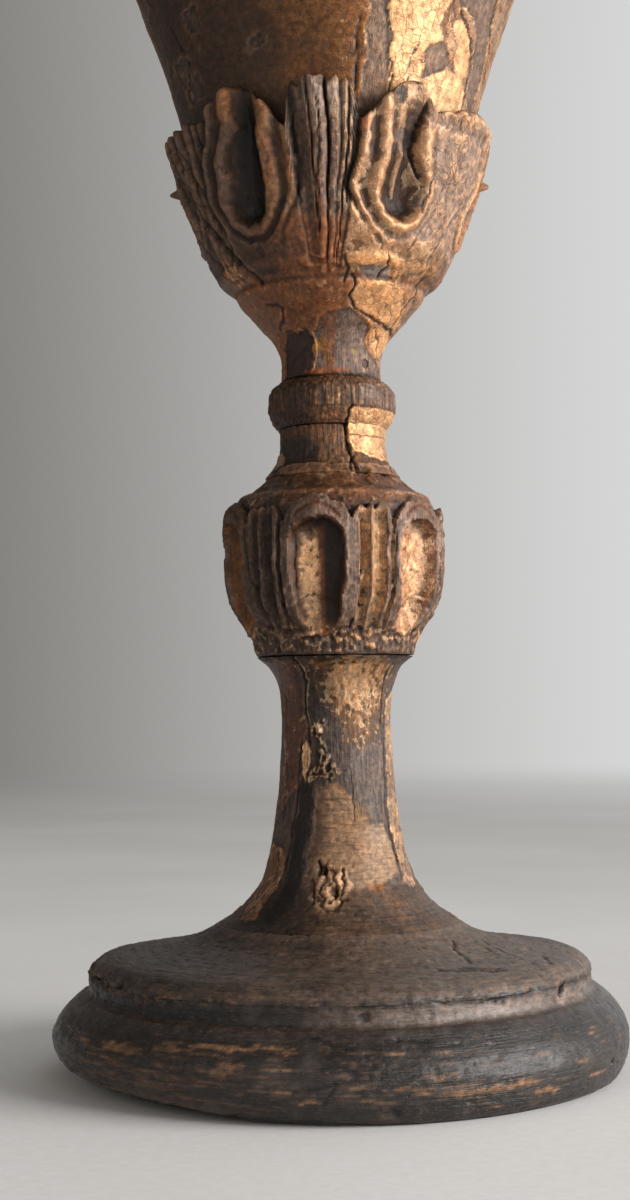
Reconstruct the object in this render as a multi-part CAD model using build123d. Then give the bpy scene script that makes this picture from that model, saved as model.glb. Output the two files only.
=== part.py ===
# Communion chalice: a turned and carved wooden cup on a moulded foot, with a loose
# metal liner. Millimetres, +Z up, origin on the standing plane under the axis.
#
# How it goes together, from the table upwards:
#   foot          moulded disc, hollowed underneath, bored for the stem's lower tenon
#   stem          flared baluster; lower tenon goes through the foot, and a long upper
#                 spigot carries every piece above
#   foot_wedge    hardwood wedge that spreads the end of the lower tenon
#   knop          fluted and gadrooned knop, threaded on the spigot
#   neck          short waisted spool, threaded on the spigot
#   collar        plain ring moulding, threaded on the spigot
#   calyx         carved leaf cup: socket for the spigot below, seat for the bowl above
#   bowl          turned bowl with a short round tenon that is glued in the calyx
#   liner         thin metal cup with a turned-over lip; lifts straight out of the bowl
#   locking_pins  iron pins across the spigot, in the calyx's socket and in the neck
from build123d import *
import math
import os

# ---- driving dimensions -------------------------------------------------------
TOTAL_H = 240.0          # standing plane to the top of the liner's lip
FOOT_R = 58.0            # widest radius of the foot, at its belly
FOOT_RECESS_R = 45.0     # hollow under the foot
FOOT_RECESS_H = 5.0
FOOT_TOP_Z = 29.0        # joint between foot and stem
STEM_BASE_R = 24.3       # radius of that joint
STEM_TOP_Z = 82.8        # joint between stem and knop
KNOP_R = 22.6            # outside of the gadroons
KNOP_TOP_Z = 119.0       # joint between knop and neck
NECK_TOP_Z = 129.3       # joint between neck and collar
COLLAR_R = 13.1
COLLAR_TOP_Z = 139.2     # joint between collar and calyx
CALYX_TOP_Z = 191.0      # tips of the carved leaves
CALYX_TIP_R = 33.6
BOWL_SEAT_Z = 162.0      # underside of the bowl, inside the calyx
BOWL_RIM_Z = 238.2       # wooden rim, under the liner's lip
BOWL_RIM_R = 46.2
BOWL_BORE_R = 43.4       # bowl's inside at the rim

TENON_R = 9.0            # stem's lower tenon
SPIGOT_R = 6.0           # stem's upper spigot
SPIGOT_TOP_Z = 151.5
GLUE = 0.05              # glue line left round each tenon
BOWL_TENON_R = 7.0
BOWL_TENON_Z = 154.6     # end of the bowl's tenon
WEDGE_TOP_Z = 20.0
WEDGE_T0 = 3.0           # wedge thickness at the open end
WEDGE_T1 = 1.5           # wedge thickness at its thin end
PIN_R = 0.8
PIN_GAP = 0.05
CALYX_PIN_Z = 141.8
NECK_PIN_Z = 125.0

LINER_GAP = 0.35         # free space between liner and bowl
LINER_T = 0.9            # liner sheet thickness
LIP_R = 47.2             # outside of the turned lip
LEAVES = 6               # repeats of the carving, on calyx and knop
LOBE_AT = -34.0          # first leaf lobe of the calyx, degrees from -Y towards +X
FLUTE_AT = -8.0          # first wide flute of the knop, same measure


# ---- helpers ------------------------------------------------------------------
def lathe(*runs):
    """Solid of revolution. Each run is ("l" or "s", [(r, z), ...]); runs join end to end."""
    edges = []
    for kind, pts in runs:
        p3 = [(r, 0, z) for r, z in pts]
        if kind == "s":
            edges.append(Edge.make_spline([Vector(*p) for p in p3]))
        else:
            for a, b in zip(p3[:-1], p3[1:]):
                edges.append(Edge.make_line(Vector(*a), Vector(*b)))
    face = Face(Wire(edges))
    return Solid.revolve(face, 360.0, Axis.Z)


def polar(azimuth, r, z):
    """Point at a bearing measured from -Y towards +X."""
    a = math.radians(azimuth)
    return Vector(r * math.sin(a), -r * math.cos(a), z)


def gouge(azimuth, r0, z0, r1, z1, radius):
    """Round-ended cutter along a line from (r0, z0) to (r1, z1) on one bearing."""
    a, b = polar(azimuth, r0, z0), polar(azimuth, r1, z1)
    d = b - a
    bar = Solid.make_cylinder(radius, d.length, Plane(origin=a, z_dir=d))
    return [bar,
            Solid.make_sphere(radius, Plane(origin=a)),
            Solid.make_sphere(radius, Plane(origin=b))]


def notch(azimuth, width, z_low, z_high, r_low, r_high):
    """Upright V between two leaf tips, cut from the top edge."""
    h = z_high - z_low
    tri = Face(Wire([Edge.make_line(Vector(0, z_low, 0), Vector(width / 2, z_high, 0)),
                     Edge.make_line(Vector(width / 2, z_high, 0), Vector(-width / 2, z_high, 0)),
                     Edge.make_line(Vector(-width / 2, z_high, 0), Vector(0, z_low, 0))]))
    solid = Solid.extrude(tri, Vector(0, 0, r_high - r_low))
    a = math.radians(azimuth)
    out = Vector(math.sin(a), -math.cos(a), 0)
    side = Vector(math.cos(a), math.sin(a), 0)
    frame = Plane(origin=out * r_low, x_dir=side, z_dir=out)
    return frame.location * solid


def cut_all(body, tools):
    done = body
    for t in tools:
        done = done - t
    return done


def cylinder(radius, z_low, z_high):
    return Solid.make_cylinder(radius, z_high - z_low, Plane(origin=(0, 0, z_low)))


def pin_at(azimuth, r_in, r_out, z, radius):
    a, b = polar(azimuth, r_in, z), polar(azimuth, r_out, z)
    return Solid.make_cylinder(radius, (b - a).length, Plane(origin=a, z_dir=b - a))


# ---- foot ---------------------------------------------------------------------
foot = lathe(
    ("l", [(TENON_R + GLUE, FOOT_RECESS_H), (FOOT_RECESS_R - 2.5, FOOT_RECESS_H),
           (FOOT_RECESS_R, 0.0), (55.4, 0.0)]),
    ("s", [(55.4, 0.0), (56.9, 1.4), (57.7, 4.2), (FOOT_R, 7.5), (57.4, 10.2),
           (56.1, 12.4), (54.3, 14.4), (52.4, 15.9)]),
    ("l", [(52.4, 15.9), (51.0, 16.6), (50.7, 17.6), (51.3, 20.0)]),
    ("s", [(51.3, 20.0), (50.8, 21.6), (49.7, 23.0), (47.6, 24.5), (44.0, 25.4)]),
    ("s", [(44.0, 25.4), (38.5, 25.9), (33.0, 26.5), (28.2, 27.6), (STEM_BASE_R, FOOT_TOP_Z)]),
    ("l", [(STEM_BASE_R, FOOT_TOP_Z), (TENON_R + GLUE, FOOT_TOP_Z), (TENON_R + GLUE, FOOT_RECESS_H)]),
)

# ---- stem ---------------------------------------------------------------------
stem = lathe(
    ("l", [(0, FOOT_RECESS_H), (TENON_R, FOOT_RECESS_H), (TENON_R, FOOT_TOP_Z),
           (STEM_BASE_R, FOOT_TOP_Z)]),
    ("s", [(STEM_BASE_R, FOOT_TOP_Z), (20.9, 31.3), (17.2, 35.3), (14.8, 39.3), (13.25, 45.4),
           (12.05, 53.4), (11.35, 61.6), (11.0, 67.7), (11.15, 73.0), (11.6, 76.2),
           (12.6, 79.0), (13.9, 81.0), (15.9, STEM_TOP_Z)]),
    ("l", [(15.9, STEM_TOP_Z), (SPIGOT_R, STEM_TOP_Z), (SPIGOT_R, SPIGOT_TOP_Z - 1.0),
           (SPIGOT_R - 1.0, SPIGOT_TOP_Z), (0, SPIGOT_TOP_Z), (0, FOOT_RECESS_H)]),
)


def wedge(extra):
    """Tapered plate across the lower tenon, thin end up."""
    half = math.sqrt(TENON_R ** 2 - (WEDGE_T0 / 2) ** 2) - 0.1 + extra * 3
    low, high = FOOT_RECESS_H - extra * 20, WEDGE_TOP_Z + extra
    t0 = WEDGE_T0 / 2 + (extra * 20) * (WEDGE_T0 - WEDGE_T1) / 2 / (WEDGE_TOP_Z - FOOT_RECESS_H)
    t1 = WEDGE_T1 / 2
    pts = [(-t0, low), (t0, low), (t1, high), (-t1, high)]
    w = Wire([Edge.make_line(Vector(x0, -half, z0), Vector(x1, -half, z1))
              for (x0, z0), (x1, z1) in zip(pts, pts[1:] + pts[:1])])
    return Solid.extrude(Face(w), Vector(0, 2 * half, 0))


foot_wedge = wedge(0.0)
stem = stem - wedge(0.1)

# ---- knop ---------------------------------------------------------------------
knop = lathe(
    ("l", [(SPIGOT_R + GLUE, STEM_TOP_Z), (15.9, STEM_TOP_Z), (16.4, 83.6), (16.5, 85.6)]),
    ("s", [(16.5, 85.6), (18.2, 88.1), (20.7, 92.2), (21.9, 96.4), (22.4, 101.0),
           (KNOP_R, 107.0), (22.4, 111.0), (21.6, 113.0)]),
    ("l", [(21.6, 113.0), (20.2, 113.9)]),
    ("s", [(20.2, 113.9), (19.3, 115.2), (17.8, 116.9), (16.05, 117.9), (13.9, KNOP_TOP_Z)]),
    ("l", [(13.9, KNOP_TOP_Z), (SPIGOT_R + GLUE, KNOP_TOP_Z), (SPIGOT_R + GLUE, STEM_TOP_Z)]),
)
cutters = []
for k in range(LEAVES):
    at = FLUTE_AT + 360.0 / LEAVES * k
    cutters += gouge(at, 25.6, 94.0, 26.4, 108.5, 5.6)
    for off in (21.5, 30.0, 38.5):
        cutters += gouge(at + off, 23.0, 93.5, 24.1, 110.0, 1.55)
knop = cut_all(knop, cutters)

# ---- neck and collar ----------------------------------------------------------
neck = lathe(
    ("l", [(SPIGOT_R + GLUE, KNOP_TOP_Z), (13.75, KNOP_TOP_Z)]),
    ("s", [(13.75, KNOP_TOP_Z), (12.9, 120.2), (11.75, 122.1), (11.1, 123.9), (10.9, 126.4),
           (11.05, NECK_TOP_Z)]),
    ("l", [(11.05, NECK_TOP_Z), (SPIGOT_R + GLUE, NECK_TOP_Z), (SPIGOT_R + GLUE, KNOP_TOP_Z)]),
)
collar = lathe(
    ("l", [(SPIGOT_R + GLUE, NECK_TOP_Z), (11.2, NECK_TOP_Z)]),
    ("s", [(11.2, NECK_TOP_Z), (12.3, 130.5), (13.0, 131.9), (COLLAR_R, 133.2)]),
    ("l", [(COLLAR_R, 133.2), (COLLAR_R, 135.6)]),
    ("s", [(COLLAR_R, 135.6), (12.9, 136.9), (12.1, 138.0), (10.8, COLLAR_TOP_Z)]),
    ("l", [(10.8, COLLAR_TOP_Z), (SPIGOT_R + GLUE, COLLAR_TOP_Z), (SPIGOT_R + GLUE, NECK_TOP_Z)]),
)

# ---- calyx --------------------------------------------------------------------
# Outside of the bowl where the calyx holds it, from the leaf tips down to its tenon.
SEAT = [(30.3, 192.5), (28.3, 186.0), (25.4, 179.0), (21.8, 172.5), (17.2, 167.2),
        (12.4, 163.6), (BOWL_TENON_R + 1.5, BOWL_SEAT_Z)]
seat_out = [(r + GLUE, z) for r, z in SEAT]
calyx = lathe(
    ("l", [(0, SPIGOT_TOP_Z + 0.4), (SPIGOT_R + GLUE, SPIGOT_TOP_Z + 0.4),
           (SPIGOT_R + GLUE, COLLAR_TOP_Z), (10.2, COLLAR_TOP_Z)]),
    ("s", [(10.2, COLLAR_TOP_Z), (10.2, 141.6), (10.35, 143.9), (11.1, 146.2), (12.6, 148.6),
           (14.9, 151.2), (17.4, 154.0), (19.0, 156.4)]),
    ("l", [(19.0, 156.4), (19.9, 157.4)]),
    ("s", [(19.9, 157.4), (22.3, 159.9), (25.4, 164.4), (27.4, 168.6), (29.3, 173.6), (30.9, 178.6),
           (32.5, 183.6), (CALYX_TIP_R, 188.0), (33.3, 189.8)]),
    ("l", [(33.3, 189.8), (32.2, CALYX_TOP_Z), (seat_out[0][0] - 0.45, CALYX_TOP_Z)]),
    ("s", [(seat_out[0][0] - 0.45, CALYX_TOP_Z)] + seat_out[1:]),
    ("l", [seat_out[-1], (BOWL_TENON_R + GLUE, BOWL_SEAT_Z), (BOWL_TENON_R + GLUE, BOWL_TENON_Z - 0.4),
           (0, BOWL_TENON_Z - 0.4), (0, SPIGOT_TOP_Z + 0.4)]),
)
cutters = []
for k in range(LEAVES):
    lobe = LOBE_AT + 360.0 / LEAVES * k
    mid = lobe + 180.0 / LEAVES
    cutters += gouge(lobe, 29.9, 169.5, 35.4, 184.5, 3.0)       # hollow of the lobe
    for off in (-16.0, 16.0):                                    # between lobe and spear
        cutters += gouge(lobe + off, 27.6, 166.5, 34.9, 188.0, 1.5)
        cutters.append(notch(lobe + off, 4.2, 182.5, 192.0, 30.9, 40.0))
    for off in (-5.0, 5.0):                                      # fluting of the spear
        cutters += gouge(mid + off, 25.4, 161.5, 34.6, 187.0, 0.9)
        cutters.append(notch(mid + off, 2.0, 187.0, 192.0, 30.9, 40.0))
calyx = cut_all(calyx, cutters)

# ---- bowl ---------------------------------------------------------------------
OUTSIDE = [(30.3, 192.5), (31.1, 194.8), (32.6, 200.0), (34.5, 206.0), (36.6, 212.0), (38.9, 218.4),
           (41.4, 225.2), (43.9, 232.0), (BOWL_RIM_R, BOWL_RIM_Z)]
INSIDE = [(BOWL_BORE_R, BOWL_RIM_Z), (40.6, 230.6), (38.0, 223.5), (35.3, 216.0), (32.6, 208.0),
          (30.1, 200.0), (27.6, 191.0), (24.6, 182.5), (20.6, 175.5), (15.4, 170.6),
          (9.0, 168.2), (0.0, 167.6)]
bowl = lathe(
    ("l", [(0, BOWL_TENON_Z), (BOWL_TENON_R, BOWL_TENON_Z), (BOWL_TENON_R, BOWL_SEAT_Z),
           SEAT[-1]]),
    ("s", SEAT[::-1]),
    ("s", OUTSIDE),
    ("l", [OUTSIDE[-1], INSIDE[0]]),
    ("s", INSIDE),
    ("l", [INSIDE[-1], (0, BOWL_TENON_Z)]),
)


# ---- liner --------------------------------------------------------------------
def inset(pts, d):
    """Offset a profile curve to its left-hand side by d, point by point."""
    out = []
    for i, (r, z) in enumerate(pts):
        r0, z0 = pts[max(i - 1, 0)]
        r1, z1 = pts[min(i + 1, len(pts) - 1)]
        tr, tz = r1 - r0, z1 - z0
        n = math.hypot(tr, tz)
        out.append((max(0.0, r + d * tz / n), z - d * tr / n))
    out[-1] = (0.0, pts[-1][1] + d)
    return out


outer = inset(INSIDE, LINER_GAP)
inner = inset(INSIDE, LINER_GAP + LINER_T)
lip_z = BOWL_RIM_Z
top_z = TOTAL_H
outer[0] = (BOWL_BORE_R - LINER_GAP, lip_z)
inner[0] = (BOWL_BORE_R - LINER_GAP - LINER_T, lip_z)
liner = lathe(
    ("s", outer[::-1]),
    ("l", [outer[0], (LIP_R - 0.9, lip_z)]),
    ("s", [(LIP_R - 0.9, lip_z), (LIP_R, lip_z + 0.9), (LIP_R - 0.9, top_z)]),
    ("l", [(LIP_R - 0.9, top_z), (inner[0][0] + 1.0, top_z)]),
    ("s", [(inner[0][0] + 1.0, top_z), (inner[0][0] + 0.2, top_z - 0.6), inner[0]]),
    ("s", inner),
    ("l", [inner[-1], outer[-1]]),
)

# ---- pins ---------------------------------------------------------------------
PINS = [(44.0, CALYX_PIN_Z, 9.6), (205.0, NECK_PIN_Z, 10.6)]
pins = []
for az, z, r_out in PINS:
    pins.append(pin_at(az, -4.5, r_out, z, PIN_R))
    hole = pin_at(az, -4.6, 14.0, z, PIN_R + PIN_GAP)
    stem = stem - hole
    if z > COLLAR_TOP_Z:
        calyx = calyx - hole
    else:
        neck = neck - hole
locking_pins = Compound(children=pins)

# ---- write --------------------------------------------------------------------
os.makedirs("parts", exist_ok=True)
for name, shape in (("foot", foot), ("stem", stem), ("foot_wedge", foot_wedge), ("knop", knop),
                    ("neck", neck), ("collar", collar), ("calyx", calyx), ("bowl", bowl),
                    ("liner", liner), ("locking_pins", locking_pins)):
    print(f"{name:13s} volume {shape.volume:10.1f} mm3  valid {shape.is_valid}")
    export_step(shape, f"parts/{name}.step")
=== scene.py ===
# Looks of a carved and gilded wooden communion chalice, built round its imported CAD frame.
# Profiles and carving are worked out in millimetres on grids of (row, bearing), then written
# as meshes in metres. Bearings are in degrees from -Y towards +X.
import math

import bpy
import numpy as np
from mathutils import Matrix, Vector


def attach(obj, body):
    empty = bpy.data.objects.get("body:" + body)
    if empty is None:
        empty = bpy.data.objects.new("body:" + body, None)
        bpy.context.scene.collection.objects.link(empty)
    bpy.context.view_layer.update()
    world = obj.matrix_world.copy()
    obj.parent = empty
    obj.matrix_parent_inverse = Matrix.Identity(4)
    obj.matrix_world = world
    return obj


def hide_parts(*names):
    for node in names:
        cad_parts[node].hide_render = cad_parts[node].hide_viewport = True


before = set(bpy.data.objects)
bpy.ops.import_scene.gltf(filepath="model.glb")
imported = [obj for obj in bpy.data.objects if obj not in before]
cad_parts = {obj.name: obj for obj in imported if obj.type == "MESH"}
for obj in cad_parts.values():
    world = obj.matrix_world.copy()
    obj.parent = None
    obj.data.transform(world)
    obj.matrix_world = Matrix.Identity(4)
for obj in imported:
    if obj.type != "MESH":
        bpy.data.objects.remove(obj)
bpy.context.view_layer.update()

RAD = math.pi / 180.0

# ------------------------------------------------------------------------------------------
# numbers: noise, distance fields, profiles
# ------------------------------------------------------------------------------------------
_rs = np.random.RandomState(11)
_PERM = np.concatenate([_rs.permutation(256)] * 3)
_GRAD = _rs.normal(size=(256, 3))
_GRAD /= np.linalg.norm(_GRAD, axis=1)[:, None]
_CELL = _rs.rand(256, 4)


def step(x, a, b):
    t = np.clip((x - a) / (b - a), 0.0, 1.0)
    return t * t * (3.0 - 2.0 * t)


def lerp(a, b, t):
    return a + (b - a) * t


def noise(p, size, seed=0):
    """Smooth noise of about -1..1 at points p; size is the feature size in mm, one number or three."""
    q = p / np.asarray(size, float) + (seed * 17.17 + 301.5)
    i = np.floor(q).astype(np.int64)
    f = q - i
    w = f * f * f * (f * (f * 6.0 - 15.0) + 10.0)
    out = np.zeros(q.shape[:-1])
    for dx in (0, 1):
        a = _PERM[(i[..., 0] + dx) & 255]
        wx = w[..., 0] if dx else 1.0 - w[..., 0]
        for dy in (0, 1):
            b = _PERM[a + ((i[..., 1] + dy) & 255)]
            wy = w[..., 1] if dy else 1.0 - w[..., 1]
            for dz in (0, 1):
                g = _GRAD[_PERM[b + ((i[..., 2] + dz) & 255)]]
                wz = w[..., 2] if dz else 1.0 - w[..., 2]
                out += wx * wy * wz * (
                    g[..., 0] * (f[..., 0] - dx)
                    + g[..., 1] * (f[..., 1] - dy)
                    + g[..., 2] * (f[..., 2] - dz)
                )
    return out * 1.75


def fbm(p, size, octaves=4, seed=0, gain=0.5):
    out, amp, s = 0.0, 1.0, np.asarray(size, float)
    for k in range(octaves):
        out = out + amp * noise(p, s, seed + k * 3)
        amp *= gain
        s = s / 2.03
    return out


def cells(p, size, seed=0):
    """Nearest and second nearest cell distances, in cell sizes, and the nearest cell's own random number."""
    q = p / np.asarray(size, float) + (seed * 13.7 + 211.3)
    i = np.floor(q).astype(np.int64)
    f1 = np.full(q.shape[:-1], 9.0)
    f2 = np.full(q.shape[:-1], 9.0)
    own = np.zeros(q.shape[:-1])
    for dx in (-1, 0, 1):
        for dy in (-1, 0, 1):
            for dz in (-1, 0, 1):
                c = i + np.array([dx, dy, dz])
                h = _PERM[_PERM[_PERM[c[..., 0] & 255] + (c[..., 1] & 255)] + (c[..., 2] & 255)]
                r = _CELL[h]
                d = np.sqrt((((c + r[..., :3]) - q) ** 2).sum(-1))
                nearer = d < f1
                f2 = np.where(nearer, f1, np.minimum(f2, d))
                own = np.where(nearer, r[..., 3], own)
                f1 = np.where(nearer, d, f1)
    return f1, f2, own


def turn(t, t0):
    """Bearing difference in degrees, -180..180."""
    return (t - t0 + 180.0) % 360.0 - 180.0


def dense(pts):
    """Catmull-Rom points through a list of (r, z)."""
    p = np.array(pts, float)
    if len(p) < 3:
        return p
    q = np.vstack([2 * p[0] - p[1], p, 2 * p[-1] - p[-2]])
    out = []
    t = np.linspace(0, 1, 16, endpoint=False)[:, None]
    for k in range(1, len(q) - 2):
        p0, p1, p2, p3 = q[k - 1 : k + 3]
        out.append(
            0.5 * (2 * p1 + (p2 - p0) * t + (2 * p0 - 5 * p1 + 4 * p2 - p3) * t**2
                   + (3 * p1 - p0 - 3 * p2 + p3) * t**3)
        )
    out.append(p[-1:])
    return np.vstack(out)


def run(pts, gap, curved=True):
    """Points along (r, z) pts, about gap mm apart."""
    d = dense(pts) if curved else np.array(pts, float)
    s = np.r_[0.0, np.cumsum(np.hypot(*np.diff(d, axis=0).T))]
    t = np.linspace(0, s[-1], max(1, int(round(s[-1] / gap))) + 1)
    return np.c_[np.interp(t, s, d[:, 0]), np.interp(t, s, d[:, 1])]


def blur(a, k_rows, k_cols, rows_wrap=False):
    """Repeated box blur on a (rows, bearings) grid; the bearings wrap."""
    out = a
    for _ in range(2):
        acc = out.copy()
        for k in range(1, k_cols + 1):
            acc = acc + np.roll(out, k, 1) + np.roll(out, -k, 1)
        out = acc / (2 * k_cols + 1)
        pad = np.pad(out, ((k_rows, k_rows), (0, 0)), mode="edge")
        acc = np.zeros_like(out)
        for k in range(2 * k_rows + 1):
            acc = acc + pad[k : k + out.shape[0]]
        out = acc / (2 * k_rows + 1)
    return out


def lin(*rgb):
    """sRGB 0-255 to linear."""
    c = np.array(rgb, float) / 255.0
    return np.where(c <= 0.04045, c / 12.92, ((c + 0.055) / 1.055) ** 2.4)


class Skin:
    """One piece's grid: profile rows by bearings, its carving, its paint and its finish."""

    def __init__(self, name, n):
        self.name, self.n = name, n
        self.parts = []
        self.T = np.arange(n) * 360.0 / n - 180.0

    def add(self, tag, pts, gap, curved=True):
        rows = run(pts, gap, curved)
        if self.parts:
            rows = rows[1:]
        self.parts.append((tag, rows))

    def close(self, ring):
        """Lays the rows out. ring: the last row joins the first; otherwise both ends lie on the axis."""
        rows = np.vstack([r for _, r in self.parts])
        tags = sum([[t] * len(r) for t, r in self.parts], [])
        if ring:
            rows, tags = rows[:-1], tags[:-1]
        self.ring = ring
        self.row_tag = np.array(tags)
        self.R = np.repeat(rows[:, :1], self.n, 1)
        self.Z = np.repeat(rows[:, 1:], self.n, 1)
        self.TT = np.repeat(self.T[None, :], len(rows), 0)
        self.ready()

    def ready(self):
        self.shape = self.R.shape
        dr = np.gradient(self.R, axis=0)
        dz = np.gradient(self.Z, axis=0)
        m = np.hypot(dr, dz) + 1e-9
        self.NR, self.NZ = dz / m, -dr / m
        self.P = self.points(self.R, self.Z)
        P = self.P
        ds = np.hypot(np.diff(self.R, axis=0), np.diff(self.Z, axis=0))
        self.S = np.vstack([np.zeros((1, self.n)), np.cumsum(ds, 0)])   # length along the profile
        rm = float(self.R[self.row_tag == "out"].mean())
        a = self.TT * RAD
        self.C = np.stack([rm * np.sin(a), -rm * np.cos(a), self.S], -1)  # unrolled, for level marks
        self.V = self.Z
        self.w1 = noise(P, 2.6, 1) * 0.55 + noise(P, 1.1, 2) * 0.32 + noise(P, 0.5, 5) * 0.16
        self.w2 = noise(P, 2.6, 3) * 0.55 + noise(P, 1.1, 4) * 0.32 + noise(P, 0.5, 6) * 0.16
        self.D = np.zeros(self.shape)
        self.paint = np.ones(self.shape + (3,)) * 0.2
        self.gold = np.zeros(self.shape)      # field in mm, above 0 where leaf is left
        self.craq = np.zeros(self.shape)      # craquelure
        self.grain = np.zeros(self.shape)     # upright wood grain
        self.turned = np.zeros(self.shape)    # level tool and grain marks
        self.rough = np.full(self.shape, 0.5)
        self.speck = np.full(self.shape, 0.3)
        self.dark = np.zeros(self.shape)
        self.shown = np.isin(self.row_tag, ("out",))[:, None] * np.ones(self.shape)

    def points(self, R, Z):
        a = self.TT * RAD
        return np.stack([R * np.sin(a), -R * np.cos(a), Z], -1)

    def radius(self, v):
        k = int(np.argmin(np.abs(self.V[:, 0] - v) + (1 - self.shown[:, 0]) * 999))
        return float(self.R[k, 0])

    def along(self, r, z):
        """Length along the profile of the outside row nearest to (r, z)."""
        d = np.hypot(self.R[:, 0] - r, self.Z[:, 0] - z) + (1 - self.shown[:, 0]) * 999
        return float(self.S[int(np.argmin(d)), 0])

    # fields in mm, positive inside
    def poly(self, pts, rough=1.0):
        p = np.array(pts, float)
        t0, z0 = p[:, 0].mean(), p[:, 1].mean()
        r0 = self.radius(z0)
        x = turn(self.TT, t0) * RAD * r0 + self.w1 * rough
        y = self.V + self.w2 * rough
        px, py = (p[:, 0] - t0) * RAD * r0, p[:, 1]
        d = np.full(self.shape, -3.0)
        near = ((x > px.min() - 3) & (x < px.max() + 3) & (y > py.min() - 3) & (y < py.max() + 3))
        xs, ys = x[near], y[near]
        best = np.full(xs.shape, 1e9)
        inside = np.zeros(xs.shape, bool)
        for k in range(len(p)):
            ax, ay, bx, by = px[k - 1], py[k - 1], px[k], py[k]
            ex, ey = bx - ax, by - ay
            t = np.clip(((xs - ax) * ex + (ys - ay) * ey) / (ex * ex + ey * ey + 1e-12), 0, 1)
            best = np.minimum(best, (xs - ax - ex * t) ** 2 + (ys - ay - ey * t) ** 2)
            cross = (ay > ys) != (by > ys)
            inside ^= cross & (xs < ex * (ys - ay) / (ey if abs(ey) > 1e-9 else 1e-9) + ax)
        d[near] = np.where(inside, 1, -1) * np.sqrt(best)
        return d * self.shown - 3.0 * (1 - self.shown)

    def blob(self, t, z, a, b, rough=1.0):
        r0 = self.radius(z)
        x = turn(self.TT, t) * RAD * r0 + self.w1 * rough
        y = self.V - z + self.w2 * rough
        return (1.0 - np.hypot(x / a, y / b)) * min(a, b) * self.shown - 3.0 * (1 - self.shown)

    def line(self, pts, rough=0.6):
        """Distance in mm to a line through (bearing, z) points."""
        p = np.array(pts, float)
        t0, z0 = p[:, 0].mean(), p[:, 1].mean()
        r0 = self.radius(z0)
        x = turn(self.TT, t0) * RAD * r0 + self.w1 * rough
        y = self.V + self.w2 * rough
        px, py = (p[:, 0] - t0) * RAD * r0, p[:, 1]
        best = np.full(self.shape, 99.0)
        for k in range(len(p) - 1):
            ex, ey = px[k + 1] - px[k], py[k + 1] - py[k]
            t = np.clip(((x - px[k]) * ex + (y - py[k]) * ey) / (ex * ex + ey * ey + 1e-12), 0, 1)
            best = np.minimum(best, np.hypot(x - px[k] - ex * t, y - py[k] - ey * t))
        return np.where(self.shown > 0, best, 99.0)

    def over(self, colour, w):
        w = np.clip(w, 0, 1)[..., None]
        self.paint = self.paint * (1 - w) + np.asarray(colour, float) * w

    def tone(self, factor):
        self.paint = self.paint * np.asarray(factor)[..., None]

    def bury(self, amount=1.0, k_rows=5, k_cols=5):
        """Positive in hollows, negative on edges, from the carving's own height."""
        return (blur(self.D, k_rows, k_cols) - self.D) * amount

    def settle(self, vivid=1.04, wear_and_edge_shade=1.0):
        """Edge rows of contact faces take the finish of the outside row beside them; then fine worn relief all over,
        small crests painted lighter and small hollows painted darker (painted highlight and painted shade), and random
        mottling.
        """
        rows = len(self.row_tag)
        edges = []
        for i in range(rows):
            if self.row_tag[i] != "in":
                continue
            for j in ((i + 1) % rows, (i - 1) % rows):
                if self.row_tag[j] == "out" and (self.ring or abs(i - j) == 1):
                    edges.append((i, j))
                    for field in (self.paint, self.gold, self.craq, self.grain, self.turned, self.rough, self.speck):
                        field[i] = field[j]
                    break
        P, on = self.P, self.shown
        self.D += wear_and_edge_shade * on * (0.030 * noise(P, 0.55, 901) + 0.050 * noise(P, 1.1, 902) + 0.045 * noise(P, 2.2, 903))
        self.D -= wear_and_edge_shade * on * 0.11 * step(noise(P, (0.9, 0.9, 1.3), 904), 0.42, 0.75)
        for i, j in edges:
            self.D[i] = np.minimum(self.D[j] * np.abs(self.NR[j]), 0.0)
            self.NR[i], self.NZ[i] = 1.0, 0.0
        # painted light: small crests lighter and small hollows darker, with random mottling
        crest = np.clip((self.D - blur(self.D, 2, 2)) / 0.11, -1.2, 1.0)
        mottle = 0.45 * noise(P, 0.6, 905) + 0.5 * noise(P, 1.3, 906) + 0.35 * noise(P, 3.0, 907)
        self.tone(np.exp(on * wear_and_edge_shade * (0.34 * crest + 0.30 * mottle)))
        lum = (self.paint @ np.array([0.27, 0.60, 0.13]))[..., None] + 1e-5
        self.paint = lum * (self.paint / lum) ** (1 + (vivid - 1) * on[..., None])
        self.gold = self.gold + 0.25 * crest * on

    def mesh(self, material, body, nodes, sharp=42.0, keep_in=None, vivid=1.04, wear_and_edge_shade=1.0):
        if vivid is not None:
            self.settle(vivid, wear_and_edge_shade)
        R = self.R + self.NR * self.D
        Z = self.Z + self.NZ * self.D
        R = np.maximum(R, 0.0)
        Z = np.clip(Z, 0.01, 239.97)
        if keep_in is not None:
            R = np.minimum(R, keep_in)
        P = self.points(R, Z) * 0.001
        rows, n = self.shape
        idx = np.arange(rows * n).reshape(rows, n)
        verts = P.reshape(-1, 3)
        layers = {
            "paint": np.concatenate([np.clip(self.paint, 0.001, 1), np.ones(self.shape + (1,))], -1),
            "mask": np.stack([np.clip(self.gold * 0.5 + 0.5, 0, 1), self.craq, self.grain, self.turned], -1),
            "finish": np.stack([self.rough, self.speck, np.clip(self.dark, 0, 1), np.ones(self.shape)], -1),
        }
        quads = []
        last = rows if self.ring else rows - 1
        a, b = (0, last) if self.ring else (1, rows - 2)
        for i in range(a, b):
            j = (i + 1) % rows
            q = np.stack([idx[i], np.roll(idx[i], -1), np.roll(idx[j], -1), idx[j]], -1)
            quads.append(q)
        quads = np.concatenate(quads)
        tris = np.zeros((0, 3), int)
        keep = np.ones(len(verts), bool)
        flat = {k: v.reshape(-1, 4) for k, v in layers.items()}
        if not self.ring:
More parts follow.
